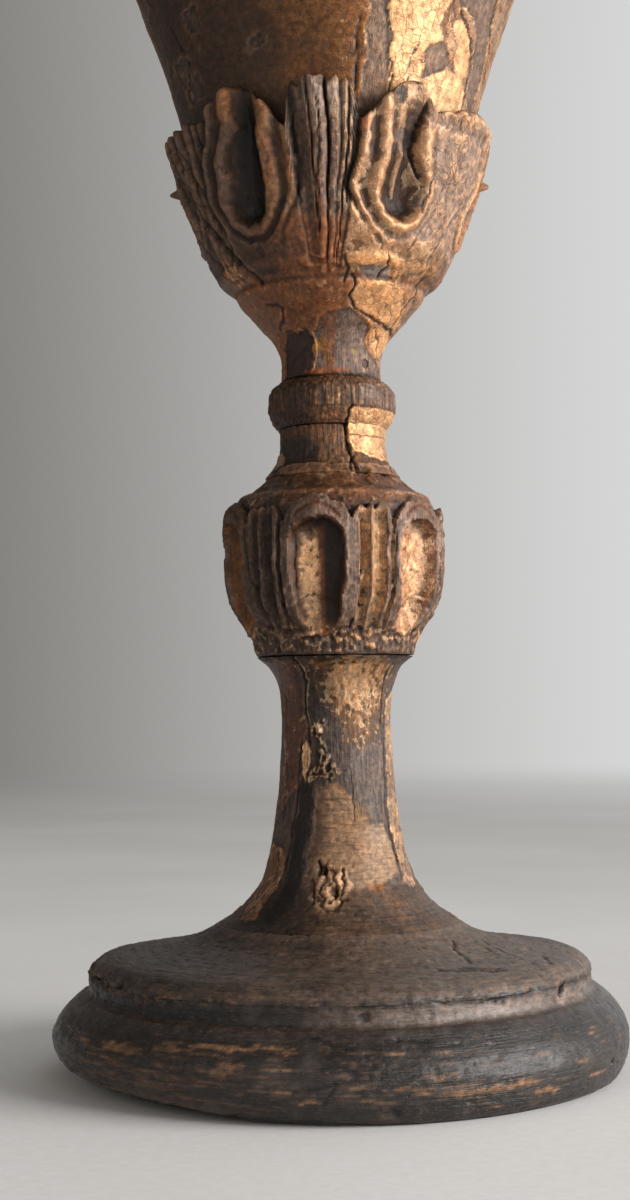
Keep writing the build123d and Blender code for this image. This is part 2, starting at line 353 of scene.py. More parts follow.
            # both ends lie on the axis: one point each, with a fan
            first, end = idx[0], idx[-1]
            lo = np.stack([np.full(n, first[0]), np.roll(idx[1], -1), idx[1]], -1)
            hi = np.stack([np.full(n, end[0]), idx[-2], np.roll(idx[-2], -1)], -1)
            tris = np.concatenate([lo, hi])
            keep[first[1:]] = False
            keep[end[1:]] = False
            verts[first[0], :2] = 0.0
            verts[end[0], :2] = 0.0
            for v in flat.values():
                v[first[0]] = v[first].mean(0)
                v[end[0]] = v[end].mean(0)
        new = np.cumsum(keep) - 1
        quads, tris = new[quads], new[tris]
        verts = verts[keep]
        me = bpy.data.meshes.new(self.name)
        me.vertices.add(len(verts))
        me.vertices.foreach_set("co", verts.astype(np.float32).ravel())
        loops = np.concatenate([quads.ravel(), tris.ravel()])
        me.loops.add(len(loops))
        me.loops.foreach_set("vertex_index", loops.astype(np.int32))
        nq, nt = len(quads), len(tris)
        start = np.concatenate([np.arange(nq) * 4, nq * 4 + np.arange(nt) * 3])
        me.polygons.add(nq + nt)
        me.polygons.foreach_set("loop_start", start.astype(np.int32))
        me.update(calc_edges=True)
        me.validate()
        flow = me.attributes.new(name="flow", type="FLOAT_VECTOR", domain="POINT")
        flow.data.foreach_set("vector", (self.C.reshape(-1, 3)[keep] * 0.001).astype(np.float32).ravel())
        for key, value in flat.items():
            layer = me.color_attributes.new(name=key, type="FLOAT_COLOR", domain="POINT")
            layer.data.foreach_set("color", value[keep].astype(np.float32).ravel())
        me.polygons.foreach_set("use_smooth", np.ones(nq + nt, bool))
        me.set_sharp_from_angle(angle=sharp * RAD)
        me.materials.append(material)
        ob = bpy.data.objects.new(self.name, me)
        bpy.context.scene.collection.objects.link(ob)
        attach(ob, body)
        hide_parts(*nodes)
        return ob


# ------------------------------------------------------------------------------------------
# colours of the old surface
# ------------------------------------------------------------------------------------------
# dark of cracks, holes and gouges: soot and painted shade in them
SOOT_AND_SHADE = lin(26, 21, 18)
UMBER = lin(52, 38, 28)
REDBROWN = lin(98, 62, 42)
BRONZE = lin(124, 84, 50)
OCHRE = lin(136, 94, 40)
TAN = lin(160, 126, 94)
GREYWOOD = lin(108, 95, 88)
LILAC = lin(126, 114, 112)
PINK = lin(158, 128, 108)
BOLE = lin(140, 74, 38)
GESSO = lin(190, 172, 148)
ORANGE = lin(176, 96, 44)
BARE = lin(150, 116, 82)
GOLD = lin(214, 168, 98)
PALEGOLD = lin(236, 204, 146)


def scattered(seed, count, z_low, z_high):
    r = np.random.RandomState(seed)
    return [(r.uniform(-180, 180), r.uniform(z_low, z_high), r.uniform(0, 1), r.uniform(0, 1)) for _ in range(count)]


def crack(s, pts, width=0.22, depth=0.45, rough=0.7, colour=SOOT_AND_SHADE, strength=0.9):
    """An open crack: a narrow groove, its bottom painted dark: soot and painted shade."""
    d = s.line(pts, rough)
    g = np.exp(-((d / width) ** 2))
    s.D -= depth * g
    s.over(colour, strength * np.exp(-((d / (width * 1.15)) ** 2)))
    s.gold -= 2.0 * g
    return d


def layer(s, field, thick=0.3, lip=0.10, soft=0.16):
    """A raised coat (gesso and leaf) where field > 0, with a slightly lifted broken edge."""
    up = step(field, -soft, soft)
    s.D += thick * up + lip * np.exp(-(((field - 0.3) / 0.28) ** 2)) * (field > -soft)
    return up


def pits(s, holes, colour=SOOT_AND_SHADE):
    """Round holes: (bearing, v, radius, depth), painted dark inside: soot and painted shade."""
    for t, v, a, depth in holes:
        f = s.blob(t, v, a, a, 0.12)
        s.D -= depth * step(f, -0.05, 0.4 * a)
        s.over(colour, step(f, -0.1, 0.25 * a))
        s.gold -= 3.0 * step(f, -0.2, 0.2 * a)


# ------------------------------------------------------------------------------------------
# foot: blackened turned disc
# ------------------------------------------------------------------------------------------
def make_foot(material):
    s = Skin("foot_turned", 700)
    s.add("under", [(9.05, 5.0), (42.5, 5.0)], 1.5, False)
    s.add("under", [(42.5, 5.0), (44.4, 3.2), (45.0, 0.25), (45.3, 0.0)], 0.9)
    s.add("under", [(45.3, 0.0), (55.0, 0.0)], 1.2, False)
    s.add("out", [(55.0, 0.0), (56.2, 0.5), (56.95, 1.6), (57.7, 4.2), (58.0, 7.5), (57.4, 10.2), (56.1, 12.4), (54.3, 14.4),
                  (52.4, 15.9)], 0.46)
    s.add("out", [(52.4, 15.9), (51.2, 16.5), (50.75, 17.5), (50.9, 18.8), (51.3, 20.0)], 0.34)
    s.add("out", [(51.3, 20.0), (50.6, 21.1), (49.2, 22.3), (47.3, 23.2), (44.6, 23.8)], 0.36)
    s.add("out", [(44.6, 23.8), (40.9, 24.3), (36.0, 25.0), (30.5, 26.2), (27.4, 27.4), (24.3, 29.0)], 0.50)
    s.add("in", [(24.3, 29.0), (9.05, 29.0)], 4.0, False)
    s.add("in", [(9.05, 29.0), (9.05, 5.0)], 4.0, False)
    s.close(True)
    s.V = s.S
    v = s.along
    P, C, T = s.P, s.C, s.TT
    out = s.shown
    seam = step(s.R, 24.3, 27.5) * out + (1 - out) * (s.row_tag == "under")[:, None]
    v_belly, v_arris, v_top = v(58, 7.5), v(51.3, 20), v(44.6, 25.3)

    # form: slightly warped turning, soft dents, fine rings and grain
    low = fbm(P, 17, 2, 1)
    rings = noise(C, (14, 14, 0.9), 2)
    grain = noise(C, (9, 9, 0.55), 5)
    s.D += out * seam * (-0.26 + 0.16 * low + 0.07 * fbm(P, 3.0, 3, 4)) + out * seam * (0.05 * rings + 0.06 * grain)
    streaky = noise(C, (5.0, 5.0, 0.42), 9) + 0.6 * noise(C, (2.2, 2.2, 0.34), 10)
    s.D -= out * seam * 0.16 * step(streaky, 0.55, 1.0)
    s.D += (s.row_tag == "under")[:, None] * (-0.02 + 0.10 * np.minimum(noise(C, (40, 40, 1.6), 8), 0) * (s.Z > 0.3))
    # worn edge of the top moulding, and the sunk band under it, whose near black on one side is painted shade
    edge = np.exp(-(((s.S - v_arris) / 1.5) ** 2)) * out
    s.D -= edge * (0.26 + 0.20 * np.clip(noise(P, 4.5, 12) + 0.5 * noise(P, 1.6, 13), 0, 1))
    va, vs = v(50.7, 17.6), v(50.9, 21.4)
    chips = [(-81, v(51.1, 20.9), 2.6, 2.2, 1.9), (-67, v(51.0, 20.9), 2.2, 2.4, 2.0), (-53.5, v(51.2, 20.3), 1.6, 1.6, 1.3),
             (-47, v(50.8, 18.6), 1.5, 1.2, 0.8), (-29, v(51.2, 20.2), 1.6, 0.8, 0.5), (13, v(51.2, 20.0), 2.2, 0.7, 0.45), (44, v(51.2, 20.2), 1.8, 0.8, 0.5),
             (56, v(51.2, 20.4), 2.6, 0.9, 0.6), (67, v(51.2, 20.4), 1.4, 0.9, 0.7), (-70, v(51.1, 20.8), 3.0, 1.7, 1.5), (-63.5, v(51.2, 20.2), 2.0, 1.1, 0.9), (-57, v(51.2, 20.3), 3.2, 1.5, 1.2),
             (-50, v(51.3, 19.6), 2.4, 1.1, 0.9), (-43.5, v(51, 19.2), 1.3, 0.9, 0.7), (-38.5, v(51, 19.2), 1.0, 0.9, 0.7),
             (34, v(51, 18.9), 4.0, 1.0, 0.8), (21, v(51.3, 20), 1.2, 0.8, 0.5), (5, v(50.8, 18.2), 1.6, 1.0, 0.4),
             (28, v(51.3, 20.4), 5.5, 0.6, 0.35), (84, v(51.3, 20.2), 2.6, 1.1, 0.8), (104, v(51.3, 20.5), 4.5, 1.5, 1.2),
             (137, v(51.2, 20.6), 2.2, 1.0, 0.8), (163, v(51.3, 20.0), 5.0, 1.3, 1.0), (-96, v(51.3, 20.6), 2.0, 1.1, 0.8),
             (-122, v(51.2, 20.4), 5.2, 1.7, 1.3), (-151, v(51.3, 20.4), 2.6, 1.0, 0.8),
             (-88, v(57.2, 2.6), 4.0, 1.5, 0.8), (-62, v(57.0, 2.2), 3.2, 1.3, 0.8), (-49, v(56.6, 1.2), 3.0, 1.0, 0.6),
             (9, v(57.0, 2.0), 2.0, 1.3, 0.7), (70, v(57.2, 2.4), 3.0, 1.2, 0.6), (148, v(57.3, 3.0), 4.6, 1.8, 0.9),
             (-140, v(57.2, 2.4), 3.4, 1.5, 0.8), (118, v(57.9, 8.6), 5.0, 1.0, 0.5)]
    chipped = np.zeros(s.shape)
    bite = np.clip(noise(P, (2.6, 2.6, 2.2), 34) + 0.5 * noise(P, (1.1, 1.1, 1.1), 35) + 0.1, 0, 1)
    s.D -= 2.8 * bite * np.exp(-(((s.S - v(51.0, 20.7)) / 1.9) ** 2)) * turnside(T, -74, 30) * out
    s.D -= 0.45 * bite * np.exp(-(((s.S - v(51.2, 20.0)) / 1.3) ** 2)) * (1 - turnside(T, -74, 30)) * out
    for t, vv, a, b, depth in chips:
        f = s.blob(t, vv, a, b, 0.9)
        k = step(f, -0.1, 0.75 * min(a, b))
        s.D -= depth * k * (0.8 + 0.35 * noise(P, 1.0, 31))
        chipped = np.maximum(chipped, step(f, -0.2, 0.4))
    scratches = np.zeros(s.shape)
    gl = [([(27, v(41.0, 25.7)), (34, v(43.0, 25.5)), (42, v(45.2, 25.1))], 0.75, 0.5),
          ([(33, v(40.8, 25.7)), (43, v(43.9, 25.4))], 0.5, 0.4),
          ([(53, v(28.0, 27.6)), (45.5, v(31.0, 26.9)), (42, v(36.0, 26.2)), (39.5, v(38.8, 25.9))], 0.3, 0.35),
          ([(60, v(33, 26.5)), (55, v(38, 25.9))], 0.3, 0.2), ([(71, v(30, 27.1)), (62, v(36, 26.2)), (57, v(42, 25.5))], 0.28, 0.22),
          ([(66, v(44, 25.4)), (60, v(46.5, 24.8))], 0.5, 0.3), ([(-6, v(53.0, 15.5)), (2, v(55.4, 13.2))], 0.3, 0.2),
          ([(-8, v(57.9, 6.2)), (3, v(58.0, 9.0))], 0.35, 0.22), ([(10.5, v(53.9, 14.8)), (16, v(54.6, 14.1))], 0.55, 0.45),
          ([(-3, v(57.4, 3.4)), (-1, v(57.9, 7.2))], 0.28, 0.3), ([(110, v(36, 26.2)), (121, v(45, 25.2))], 0.4, 0.3),
          ([(-104, v(33, 26.5)), (-96, v(43, 25.4))], 0.35, 0.3), ([(172, v(40, 25.8)), (184, v(47.6, 24.4))], 0.4, 0.3)]
    for pts, w, depth in gl:
        d = s.line(pts, 0.8)
        g = np.exp(-((d / w) ** 2)) * (0.6 + 0.5 * step(noise(P, 0.9, 33), -0.4, 0.5))
        s.D -= depth * g
        scratches = np.maximum(scratches, np.exp(-((d / (w * 1.1)) ** 2)))
    hole = [(55, v(50.9, 18.8), 1.15, 1.5), (62, v(57.8, 5.3), 0.8, 0.8), (-109, v(57.6, 9.2), 0.85, 1.0),
            (157, v(49.0, 23.6), 0.9, 1.1), (-132, v(52.4, 15.9), 0.95, 1.1), (96, v(57.9, 6.6), 0.8, 0.9)]

    # paint
    n1, n2, n3 = fbm(P, 12, 3, 41), fbm(P, 4, 3, 42), noise(C, (7, 7, 0.7), 43)
    rows = s.S
    s.paint[:] = lin(60, 50, 43)
    plate = step(rows, v_arris, v_arris + 2)
    s.over(lin(80, 66, 56), plate * (0.55 + 0.35 * n1))
    s.over(lin(92, 76, 64), plate * step(n2 + 0.6 * n3, 0.25, 0.9) * 0.6)
    s.over(lin(42, 34, 29), plate * step(-n2 - 0.7 * n3, 0.3, 1.0) * 0.7)
    s.over(lin(34, 27, 23), plate * step(streaky + 0.3 * n2, 0.35, 0.9) * 0.75)
    s.over(lin(112, 94, 80), plate * step(-streaky + 0.3 * n2, 0.55, 1.1) * 0.5)
    # painted shade over the left of the plate, painted light over its right
    s.over(lin(40, 32, 28), plate * turnside(T, -70, 60) * 0.5)
    s.over(lin(110, 98, 88), plate * turnside(T, 50, 60) * 0.45)
    # brown breaks through round the root of the stem
    root = out * step(s.R, 40, 26)
    s.over(lin(88, 69, 54), root * (0.5 + 0.4 * n3))
    # darker patches round the root, more of them on the left: random tone with painted shade
    s.over(lin(48, 38, 32), out * step(s.R, 47, 30) * step(-n1 + 0.5 * turnside(T, -55, 60), 0.2, 0.9) * 0.6)
    belly = (1 - step(rows, v(52.4, 15.9) - 1.5, v(52.4, 15.9) + 0.5)) * out
    s.over(lin(33, 27, 24), belly)
    s.over(lin(50, 44, 41), belly * step(n1, 0.0, 0.8) * 0.8)
    s.over(lin(66, 58, 54), np.exp(-(((rows - v(53.4, 15.2)) / 1.3) ** 2)) * 0.75 * out * (0.7 + 0.3 * n2))
    # worn streaks, longest on the widest part
    sk = 0.62 * noise(C, (11, 11, 0.62), 51) + 0.42 * noise(C, (4.2, 4.2, 0.42), 52) + 0.30 * fbm(P, 9, 2, 53)
    at = np.exp(-(((rows - v(57.0, 11.0)) / 4.2) ** 2)) + 0.8 * np.exp(-(((rows - v(57.6, 4.2)) / 3.2) ** 2))
    slant = np.stack([C[..., 0], C[..., 1], C[..., 2] - 0.10 * C[..., 0]], -1)
    sk = sk + 0.42 * noise(slant, (3.4, 3.4, 0.34), 56) + 0.26 * noise(slant, (1.5, 1.5, 0.28), 57)
    worn = step(sk + 0.20 * at, 0.34, 0.66) * belly * at
    s.over(lin(78, 62, 50), worn * 0.8)
    s.over(lin(140, 108, 78), step(sk + 0.20 * at, 0.66, 1.15) * belly * at * 0.85)
    s.over(lin(104, 72, 46), turnside(T, -38, 34) * belly * np.exp(-(((rows - v(57.6, 6.4)) / 5.0) ** 2)) * step(sk, -0.2, 0.6) * 0.65)
    for t, z, r, a, b, k in ((-22, 13.2, 55.4, 7.5, 0.75, 0.9), (-12, 13.4, 55.3, 4.2, 0.5, 0.9), (-9, 13.0, 55.6, 3.0, 0.35, 0.9),
                             (-33, 12.4, 56.1, 4.0, 0.7, 0.6), (-20, 10.6, 57.3, 3.2, 0.9, 0.5), (-5, 4.1, 57.6, 2.4, 0.45, 1.0),
                             (24, 5.0, 57.7, 7.0, 0.6, 0.8), (33, 5.8, 57.8, 6.0, 0.55, 0.9), (40, 3.6, 57.5, 4.0, 0.6, 0.9),
                             (-45, 11.5, 56.7, 6.0, 1.2, 0.45), (18, 8.4, 57.9, 4.2, 0.5, 0.6), (12, 6.4, 57.9, 5.0, 0.5, 0.5),
                             (122, 9.0, 57.8, 9.0, 0.8, 0.8), (-118, 10.0, 57.5, 8.0, 0.9, 0.7), (165, 5.0, 57.7, 8.0, 0.8, 0.7)):
        f = s.blob(t, v(r, z), a, b, 0.8) + 0.30 * noise(slant, (3, 3, 0.30), 55) + 0.15 * noise(slant, (1.2, 1.2, 0.3), 58)
        s.over(lin(150, 112, 78), step(f, -0.05, 0.35) * k * 0.85)
    # the step below the top moulding: painted shade, near black, on the left and painted light, pale grey, on the
    # right; greyer towards the back
    band = np.exp(-(((rows - v(50.75, 17.8)) / 1.5) ** 4)) * out
    s.over(lin(13, 11, 10), band * turnside(T, -42, 55))
    s.over(lin(122, 110, 102), band * turnside(T, 38, 52) * (0.75 + 0.3 * n2))
    s.over(lin(84, 74, 68), band * turnside(T, -105, 40) * 0.7)
    s.over(lin(92, 82, 76), band * turnside(T, 170, 60) * (0.5 + 0.5 * n1))
    rim = np.exp(-(((rows - v_arris - 0.5) / 0.7) ** 2)) * out
    s.over(lin(124, 96, 74), rim * step(n2 + noise(C, (6, 6, 2), 61), 0.1, 0.9) * 0.6)
    s.over(lin(34, 28, 25), np.clip(scratches, 0, 1) * 0.85)
    s.over(lin(58, 44, 36), chipped * 0.7)
    s.over(lin(118, 92, 70), chipped * step(noise(P, 1.3, 62), 0.15, 0.6) * 0.55)
    s.tone(1.0 + 0.16 * n2 + 0.10 * n3)
    under = (s.row_tag == "under")[:, None] * np.ones(s.shape)
    ring_u = noise(C, (60, 60, 1.1), 71)
    s.over(lin(84, 64, 48), under * (0.8 + 0.2 * ring_u))
    s.over(lin(52, 42, 36), under * step(fbm(P, 11, 3, 72) + 0.3 * ring_u, 0.0, 0.8) * 0.8)
    s.over(lin(44, 36, 31), under * (s.Z < 1.2) * 0.8)
    pits(s, hole)
    # painted shade: darker in the hollows of the carving
    h = s.bury(1.0, 4, 4)
    s.tone(np.clip(1.0 - 1.6 * np.clip(h, 0, 0.3), 0.35, 1.2))
    # the lower edge is worn away towards one side, and the plate has sunk a little at the back
    gone = np.interp(T, [-180, -140, -110, -90, -75, -60, -45, -37, -30, -15, -5, 0, 8, 15, 180],
                     [0, 0, 3.0, 4.0, 3.6, 3.0, 2.6, 2.4, 1.9, 0.95, 0.6, 0.45, 0.2, 0, 0])
    gone = gone + 0.35 * noise(P, (3.2, 3.2, 9), 81) * np.clip(gone, 0, 1)
    s.Z = s.Z + gone * step(s.R, 47.0, 55.5) * np.clip(1 - s.Z / 9.5, 0, 1)
    s.Z = s.Z - 1.1 * step(np.abs(T), 95, 140) * step(s.R, 26.0, 31.0) * (1 - step(s.R, 46.0, 49.5)) * (s.Z > 22.0)
    s.over(lin(96, 82, 72), out * (1 - step(s.Z - gone, 0.4, 2.4)) * step(gone, 0.8, 2.0) * 0.7)
    s.turned += out * 0.85 + under * 0.9
    s.rough[:] = 0.47
    s.rough += 0.10 * n2 + 0.16 * plate - 0.09 * belly
    s.speck[:] = 0.2
    return s.mesh(material, "chalice", ["foot"], 44, keep_in=57.97)


def turnside(t, centre, half):
    """1 near one bearing, falling to 0 at half the width away and beyond."""
    return step(np.abs(turn(t, centre)), half, half * 0.35)


# ------------------------------------------------------------------------------------------
# stem: flared baluster
# ------------------------------------------------------------------------------------------
def make_stem(material):
    s = Skin("stem_turned", 400)
    s.add("in", [(0.0, 5.15), (8.6, 5.15), (9.0, 5.6), (9.0, 29.0)], 2.2, False)
    s.add("in", [(9.0, 29.0), (24.3, 29.0)], 4.0, False)
    s.add("out", [(24.3, 29.0), (20.9, 31.3), (18.9, 33.3), (17.2, 35.3), (15.75, 37.3), (14.24, 41.3), (13.23, 45.4), (12.03, 53.5),
                  (11.33, 61.6), (11.0, 68.7), (11.2, 73.5), (11.45, 75.9), (12.07, 77.9), (13.1, 79.9), (13.95, 81.0), (15.9, 82.6)], 0.29)
    s.add("in", [(15.9, 82.6), (15.9, 82.8), (6.0, 82.8)], 3.0, False)
    s.add("in", [(6.0, 82.8), (6.0, 150.5), (5.0, 151.5), (0.0, 151.5)], 5.0, False)
    s.close(False)
    P, C, T, Z, out = s.P, s.C, s.TT, s.Z, s.shown
    seam = out * step(Z, 29.0, 31.5)
    n1, n2, n4 = fbm(P, 12, 3, 41), fbm(P, 4, 3, 42), fbm(P, 1.4, 3, 47)
    up = noise(P, (0.8, 0.8, 14), 101) + 0.6 * noise(P, (0.42, 0.42, 8), 102)
    lvl = noise(C, (9, 9, 0.55), 5) + 0.5 * noise(C, (5, 5, 0.3), 103)
    s.D += seam * (-0.02 + 0.14 * fbm(P, 12, 2, 104) + 0.035 * n2)

    tan = s.poly([(-18, 56.4), (-6, 57.4), (7, 56.4), (16, 53.9), (23, 50.7), (36, 49.2), (46, 48.7), (53, 43.8), (54, 40.0), (44, 38.1),
                  (24, 37.6), (8, 36.4), (1, 34.0), (-12, 33.2), (-23, 36.8), (-27, 42.4), (-23, 48.2)], 1.0)
    grey = s.poly([(16, 64.9), (59, 65.1), (54, 53.7), (48, 49.9), (33, 49.9), (22, 52.2), (16, 54.7), (11, 59.9)], 0.8)
    gold = s.poly([(-16, 81.9), (-4, 83.5), (18, 83.5), (43, 83.4), (60, 79.8), (60, 73.6), (49, 67.6), (39, 64.2), (16, 65.9), (2, 70.9),
                   (-14, 73.9), (-23, 77.8)], 2.4)
    strip = s.poly([(64, 73.6), (84, 75.6), (96, 66), (92, 57.4), (88, 49.5), (80, 42), (70, 36.3), (56, 37.5), (57, 44.8), (55, 50.7),
                    (61, 59.7)], 0.9)
    flbl = s.poly([(-84, 45.1), (-56, 44.6), (-47, 42.2), (-50, 36.8), (-54, 33.5), (-50, 30.9), (-62, 30.3), (-74, 33.6), (-82, 38.8)], 0.8)
    redl = s.poly([(-96, 82), (-36, 82), (-32, 78), (-34, 71), (-33, 65.9), (-38, 57.9), (-60, 52.9), (-84, 48), (-110, 60)], 0.9)
    dkl = s.poly([(-41, 57.9), (-21, 58.2), (-24, 51.2), (-29, 44.3), (-27, 38.6), (-31, 33.1), (-38, 29.8), (-47, 31), (-44, 40), (-46, 44.3),
                  (-42, 51.0)], 1.4)
    crust = s.poly([(-26, 69.2), (-19, 70.4), (-13, 69.1), (-12, 67.0), (-17, 66.2), (-12, 64.4), (-3, 62.6), (2, 59.9), (-6, 57.6), (-16, 58.6),
                    (-25, 56.6), (-31, 58.2), (-24, 60.9), (-21, 64.9), (-24, 67.0)], 1.5)
    flake = s.poly([(-35, 64.6), (-30, 66.0), (-27, 63.4), (-29, 60.4), (-33, 57.8), (-36.5, 59.8)], 0.9)
    # back of the stem: large islands of gilded gesso with bare wood between
    isle = fbm(P, (9, 9, 15), 3, 111)
    back = step(np.abs(T), 62, 100)
    coat_b = (isle * 2.4 + 0.2) * back - 3.0 * (1 - back)
    coat = np.maximum.reduce([strip, flbl, redl * 1.0, coat_b])
    up_coat = layer(s, coat, 0.20, 0.06)
    s.D += -0.10 * out * seam
    # upright grain on bare wood, level marks on the scraped tan patch
    bare = out * (1 - up_coat)
    s.D += bare * seam * (1 - step(tan, -0.5, 0.5)) * step(Z, 36, 44) * 0.06 * up
    s.D += seam * step(tan, -0.4, 0.6) * (-0.10 + 0.035 * lvl)
    s.D += seam * (1 - step(Z, 36, 44)) * 0.035 * lvl
    # crusted gesso left on the front
    f1, f2, own = cells(P, 1.15, 5)
    cr = step(crust, -0.3, 0.5)
    curl = 1 - np.abs(noise(P, (1.5, 1.5, 2.0), 127) + 0.4 * noise(P, 0.7, 128)) * 2.2
    s.D += cr * (0.12 + 0.50 * np.clip(curl, -0.5, 1) + 0.40 * n4)
    fl = step(flake, -0.15, 0.15)
    s.D += fl * 0.42
    # knots and torn grain above the foot
    for t, z, a, b, hh, rr in ((-9.5, 37.6, 3.0, 2.3, 0.75, 1.3), (1.5, 38.4, 2.0, 2.2, 0.65, 1.3), (-3.0, 36.8, 1.05, 1.0, -1.7, 0.7), (28, 37.2, 1.6, 0.8, -0.3, 1.2),
                               (-12.5, 40.9, 1.3, 0.7, -0.9, 1.0), (150, 47, 1.7, 1.1, -0.8, 0.6), (146, 45.2, 2.3, 0.7, 0.4, 0.6)):
        f = s.blob(t, z, a, b, rr)
        s.D += hh * step(f, -0.35, 0.6 * min(a, b))
        # sunk knots painted dark inside: soot and painted shade
        if hh < -0.5:
            s.over(SOOT_AND_SHADE, step(f, -0.1, 0.4) * 0.9)
    for pts, w, dpt in (([(-17, 41.6), (-15, 39.9), (-10.5, 40.2), (-9.0, 42.0)], 0.34, 0.8), ([(-9.6, 40.6), (-9.0, 38.6), (-11.4, 36.6), (-9.8, 35.0)], 0.30, 0.7),
                        ([(2.8, 40.6), (4.6, 38.4), (1.6, 36.2), (2.6, 34.8)], 0.34, 0.8), ([(-7.5, 37.9), (-3.5, 38.6), (-0.8, 37.4), (-1.6, 35.4), (-6.2, 34.9)], 0.28, 0.7),
                        ([(-14.0, 35.2), (-7.0, 33.6), (0.0, 33.9), (5.0, 35.4)], 0.45, 0.6), ([(-6.0, 41.4), (-3.6, 39.9), (-5.2, 38.9)], 0.26, 0.5),
                        ([(-19, 38.6), (-16.5, 36.6), (-17.5, 34.4)], 0.3, 0.5)):
        crack(s, pts, w, dpt, 1.1, lin(30, 22, 17), 0.8)

    # paint
    s.paint[:] = lin(84, 70, 62)
    s.over(lin(104, 84, 68), step(up + 0.5 * n2, 0.0, 1.0) * 0.6)
    s.over(lin(56, 44, 37), step(-up + 0.4 * n2, 0.2, 1.0) * 0.65)
    s.over(lin(112, 98, 90), step(grey, -0.4, 0.7) * (0.55 + 0.25 * up))
    low = 1 - step(Z, 31, 42)
    s.over(lin(86, 67, 52), low * (0.7 + 0.3 * lvl))
    # lighter patches on the front right of the flare: painted light over random tone
    s.over(lin(118, 88, 62), low * turnside(T, 14, 62) * step(lvl + n2, 0.0, 1.1) * 0.7)
    s.over(lin(50, 40, 34), low * step(-lvl - n2, 0.25, 1.1) * 0.7)
    # the left of the flare darker: painted shade
    s.over(lin(36, 28, 23), low * turnside(T, -38, 40) * 0.8)
    t_in = step(tan, -0.35, 0.45)
    s.over(lin(156, 126, 98), t_in * 0.95)
    # the left end of the scraped patch darker: painted shade
    s.over(lin(70, 50, 38), t_in * turnside(T, -26, 22) * 0.75)
    s.over(lin(86, 60, 42), t_in * step(noise(C, (6, 6, 0.8), 125) + 0.6 * noise(C, (2.4, 2.4, 0.34), 126), 0.3, 0.9) * 0.6)
    # the patch paler towards the right: painted light
    s.over(lin(184, 158, 130), t_in * step(T, 10, 48) * (0.4 + 0.4 * n2))
    s.over(lin(104, 74, 54), t_in * step(lvl + 0.35 * n2, 0.35, 0.95) * 0.75)
    s.over(lin(78, 54, 40), t_in * step(-lvl + 0.5 * n2, 0.75, 1.15) * 0.8)
    s.over(lin(140, 100, 44), step(s.blob(22, 50.5, 2.2, 2.8, 1.0), -0.3, 0.6) * 0.45)
    s.over(lin(22, 16, 13), step(dkl, -0.6, 0.8) * 0.92)
    s.over(lin(92, 60, 46), step(redl, -0.1, 0.3) * 0.9)
    s.over(lin(64, 44, 36), step(redl, -0.1, 0.3) * step(-n2 + 0.4 * up, 0.1, 0.9) * 0.7)
    s.over(lin(138, 112, 90), step(strip, -0.15, 0.25) * (0.8 + 0.2 * n2))
    s.over(lin(206, 160, 110), step(strip, 0.1, 0.4) * step(n4 + 0.5 * n2, 0.2, 0.8) * 0.55)
    s.over(lin(116, 82, 56), step(flbl, -0.15, 0.25) * 0.9)
    s.over(lin(70, 48, 36), step(flbl, -0.15, 0.25) * step(up, 0.2, 0.9) * 0.6)
    s.over(lin(112, 82, 58), step(coat_b, -0.1, 0.3) * (0.8 + 0.25 * n2))
    s.over(lin(70, 50, 40), step(coat_b, -0.1, 0.3) * step(n1, 0.1, 0.9) * 0.7)
    gold = gold + 1.1 * n4 + 0.9 * noise(P, (1.2, 1.2, 3.0), 121)
    g_in = step(gold, -1.2, 2.4)
    grit = noise(P, (0.75, 0.75, 1.0), 122) + 0.5 * noise(P, (2.0, 2.0, 4.0), 123)
    s.over(lin(128, 90, 46), g_in * 0.9)
    s.over(lin(58, 40, 26), g_in * step(grit, 0.05, 0.55) * 0.7)
    # painted highlight on the gilding at the front right, and painted shade to the left of it
    s.over(lin(188, 146, 92), g_in * turnside(T, 14, 24) * step(Z, 68, 74) * step(-grit, -0.1, 0.5) * 0.6)
    s.over(lin(38, 28, 22), turnside(T, -22, 26) * step(Z, 68, 72) * (1 - step(Z, 79, 81.5)) * 0.75)
    s.over(lin(48, 40, 30), step(s.poly([(-20, 82.6), (-12, 81), (8, 80.4), (2, 84), (-14, 84.4)], 1.2), -0.4, 0.5) * 0.8)
    c_in = step(crust, -0.15, 0.35)
    s.over(lin(62, 49, 38), c_in * 0.85)
    s.over(lin(136, 114, 90), c_in * step(s.D - blur(s.D, 3, 3), 0.02, 0.2) * 0.9)
    s.over(lin(196, 158, 118), step(flake, -0.1, 0.15) * 0.9)
    s.over(lin(186, 120, 52), step(s.blob(29, 37.2, 2.0, 0.9, 0.9), -0.2, 0.4) * 0.75)
    s.over(lin(190, 166, 134), step(s.blob(-19, 68.4, 1.9, 1.3, 1.4), -0.3, 0.4) * step(curl, 0.2, 0.7) * 0.8)
    # painted shade round the top of the stem, under the knop
    top = step(Z, 80.5, 82.5)
    s.over(lin(44, 34, 27), top * 0.5)

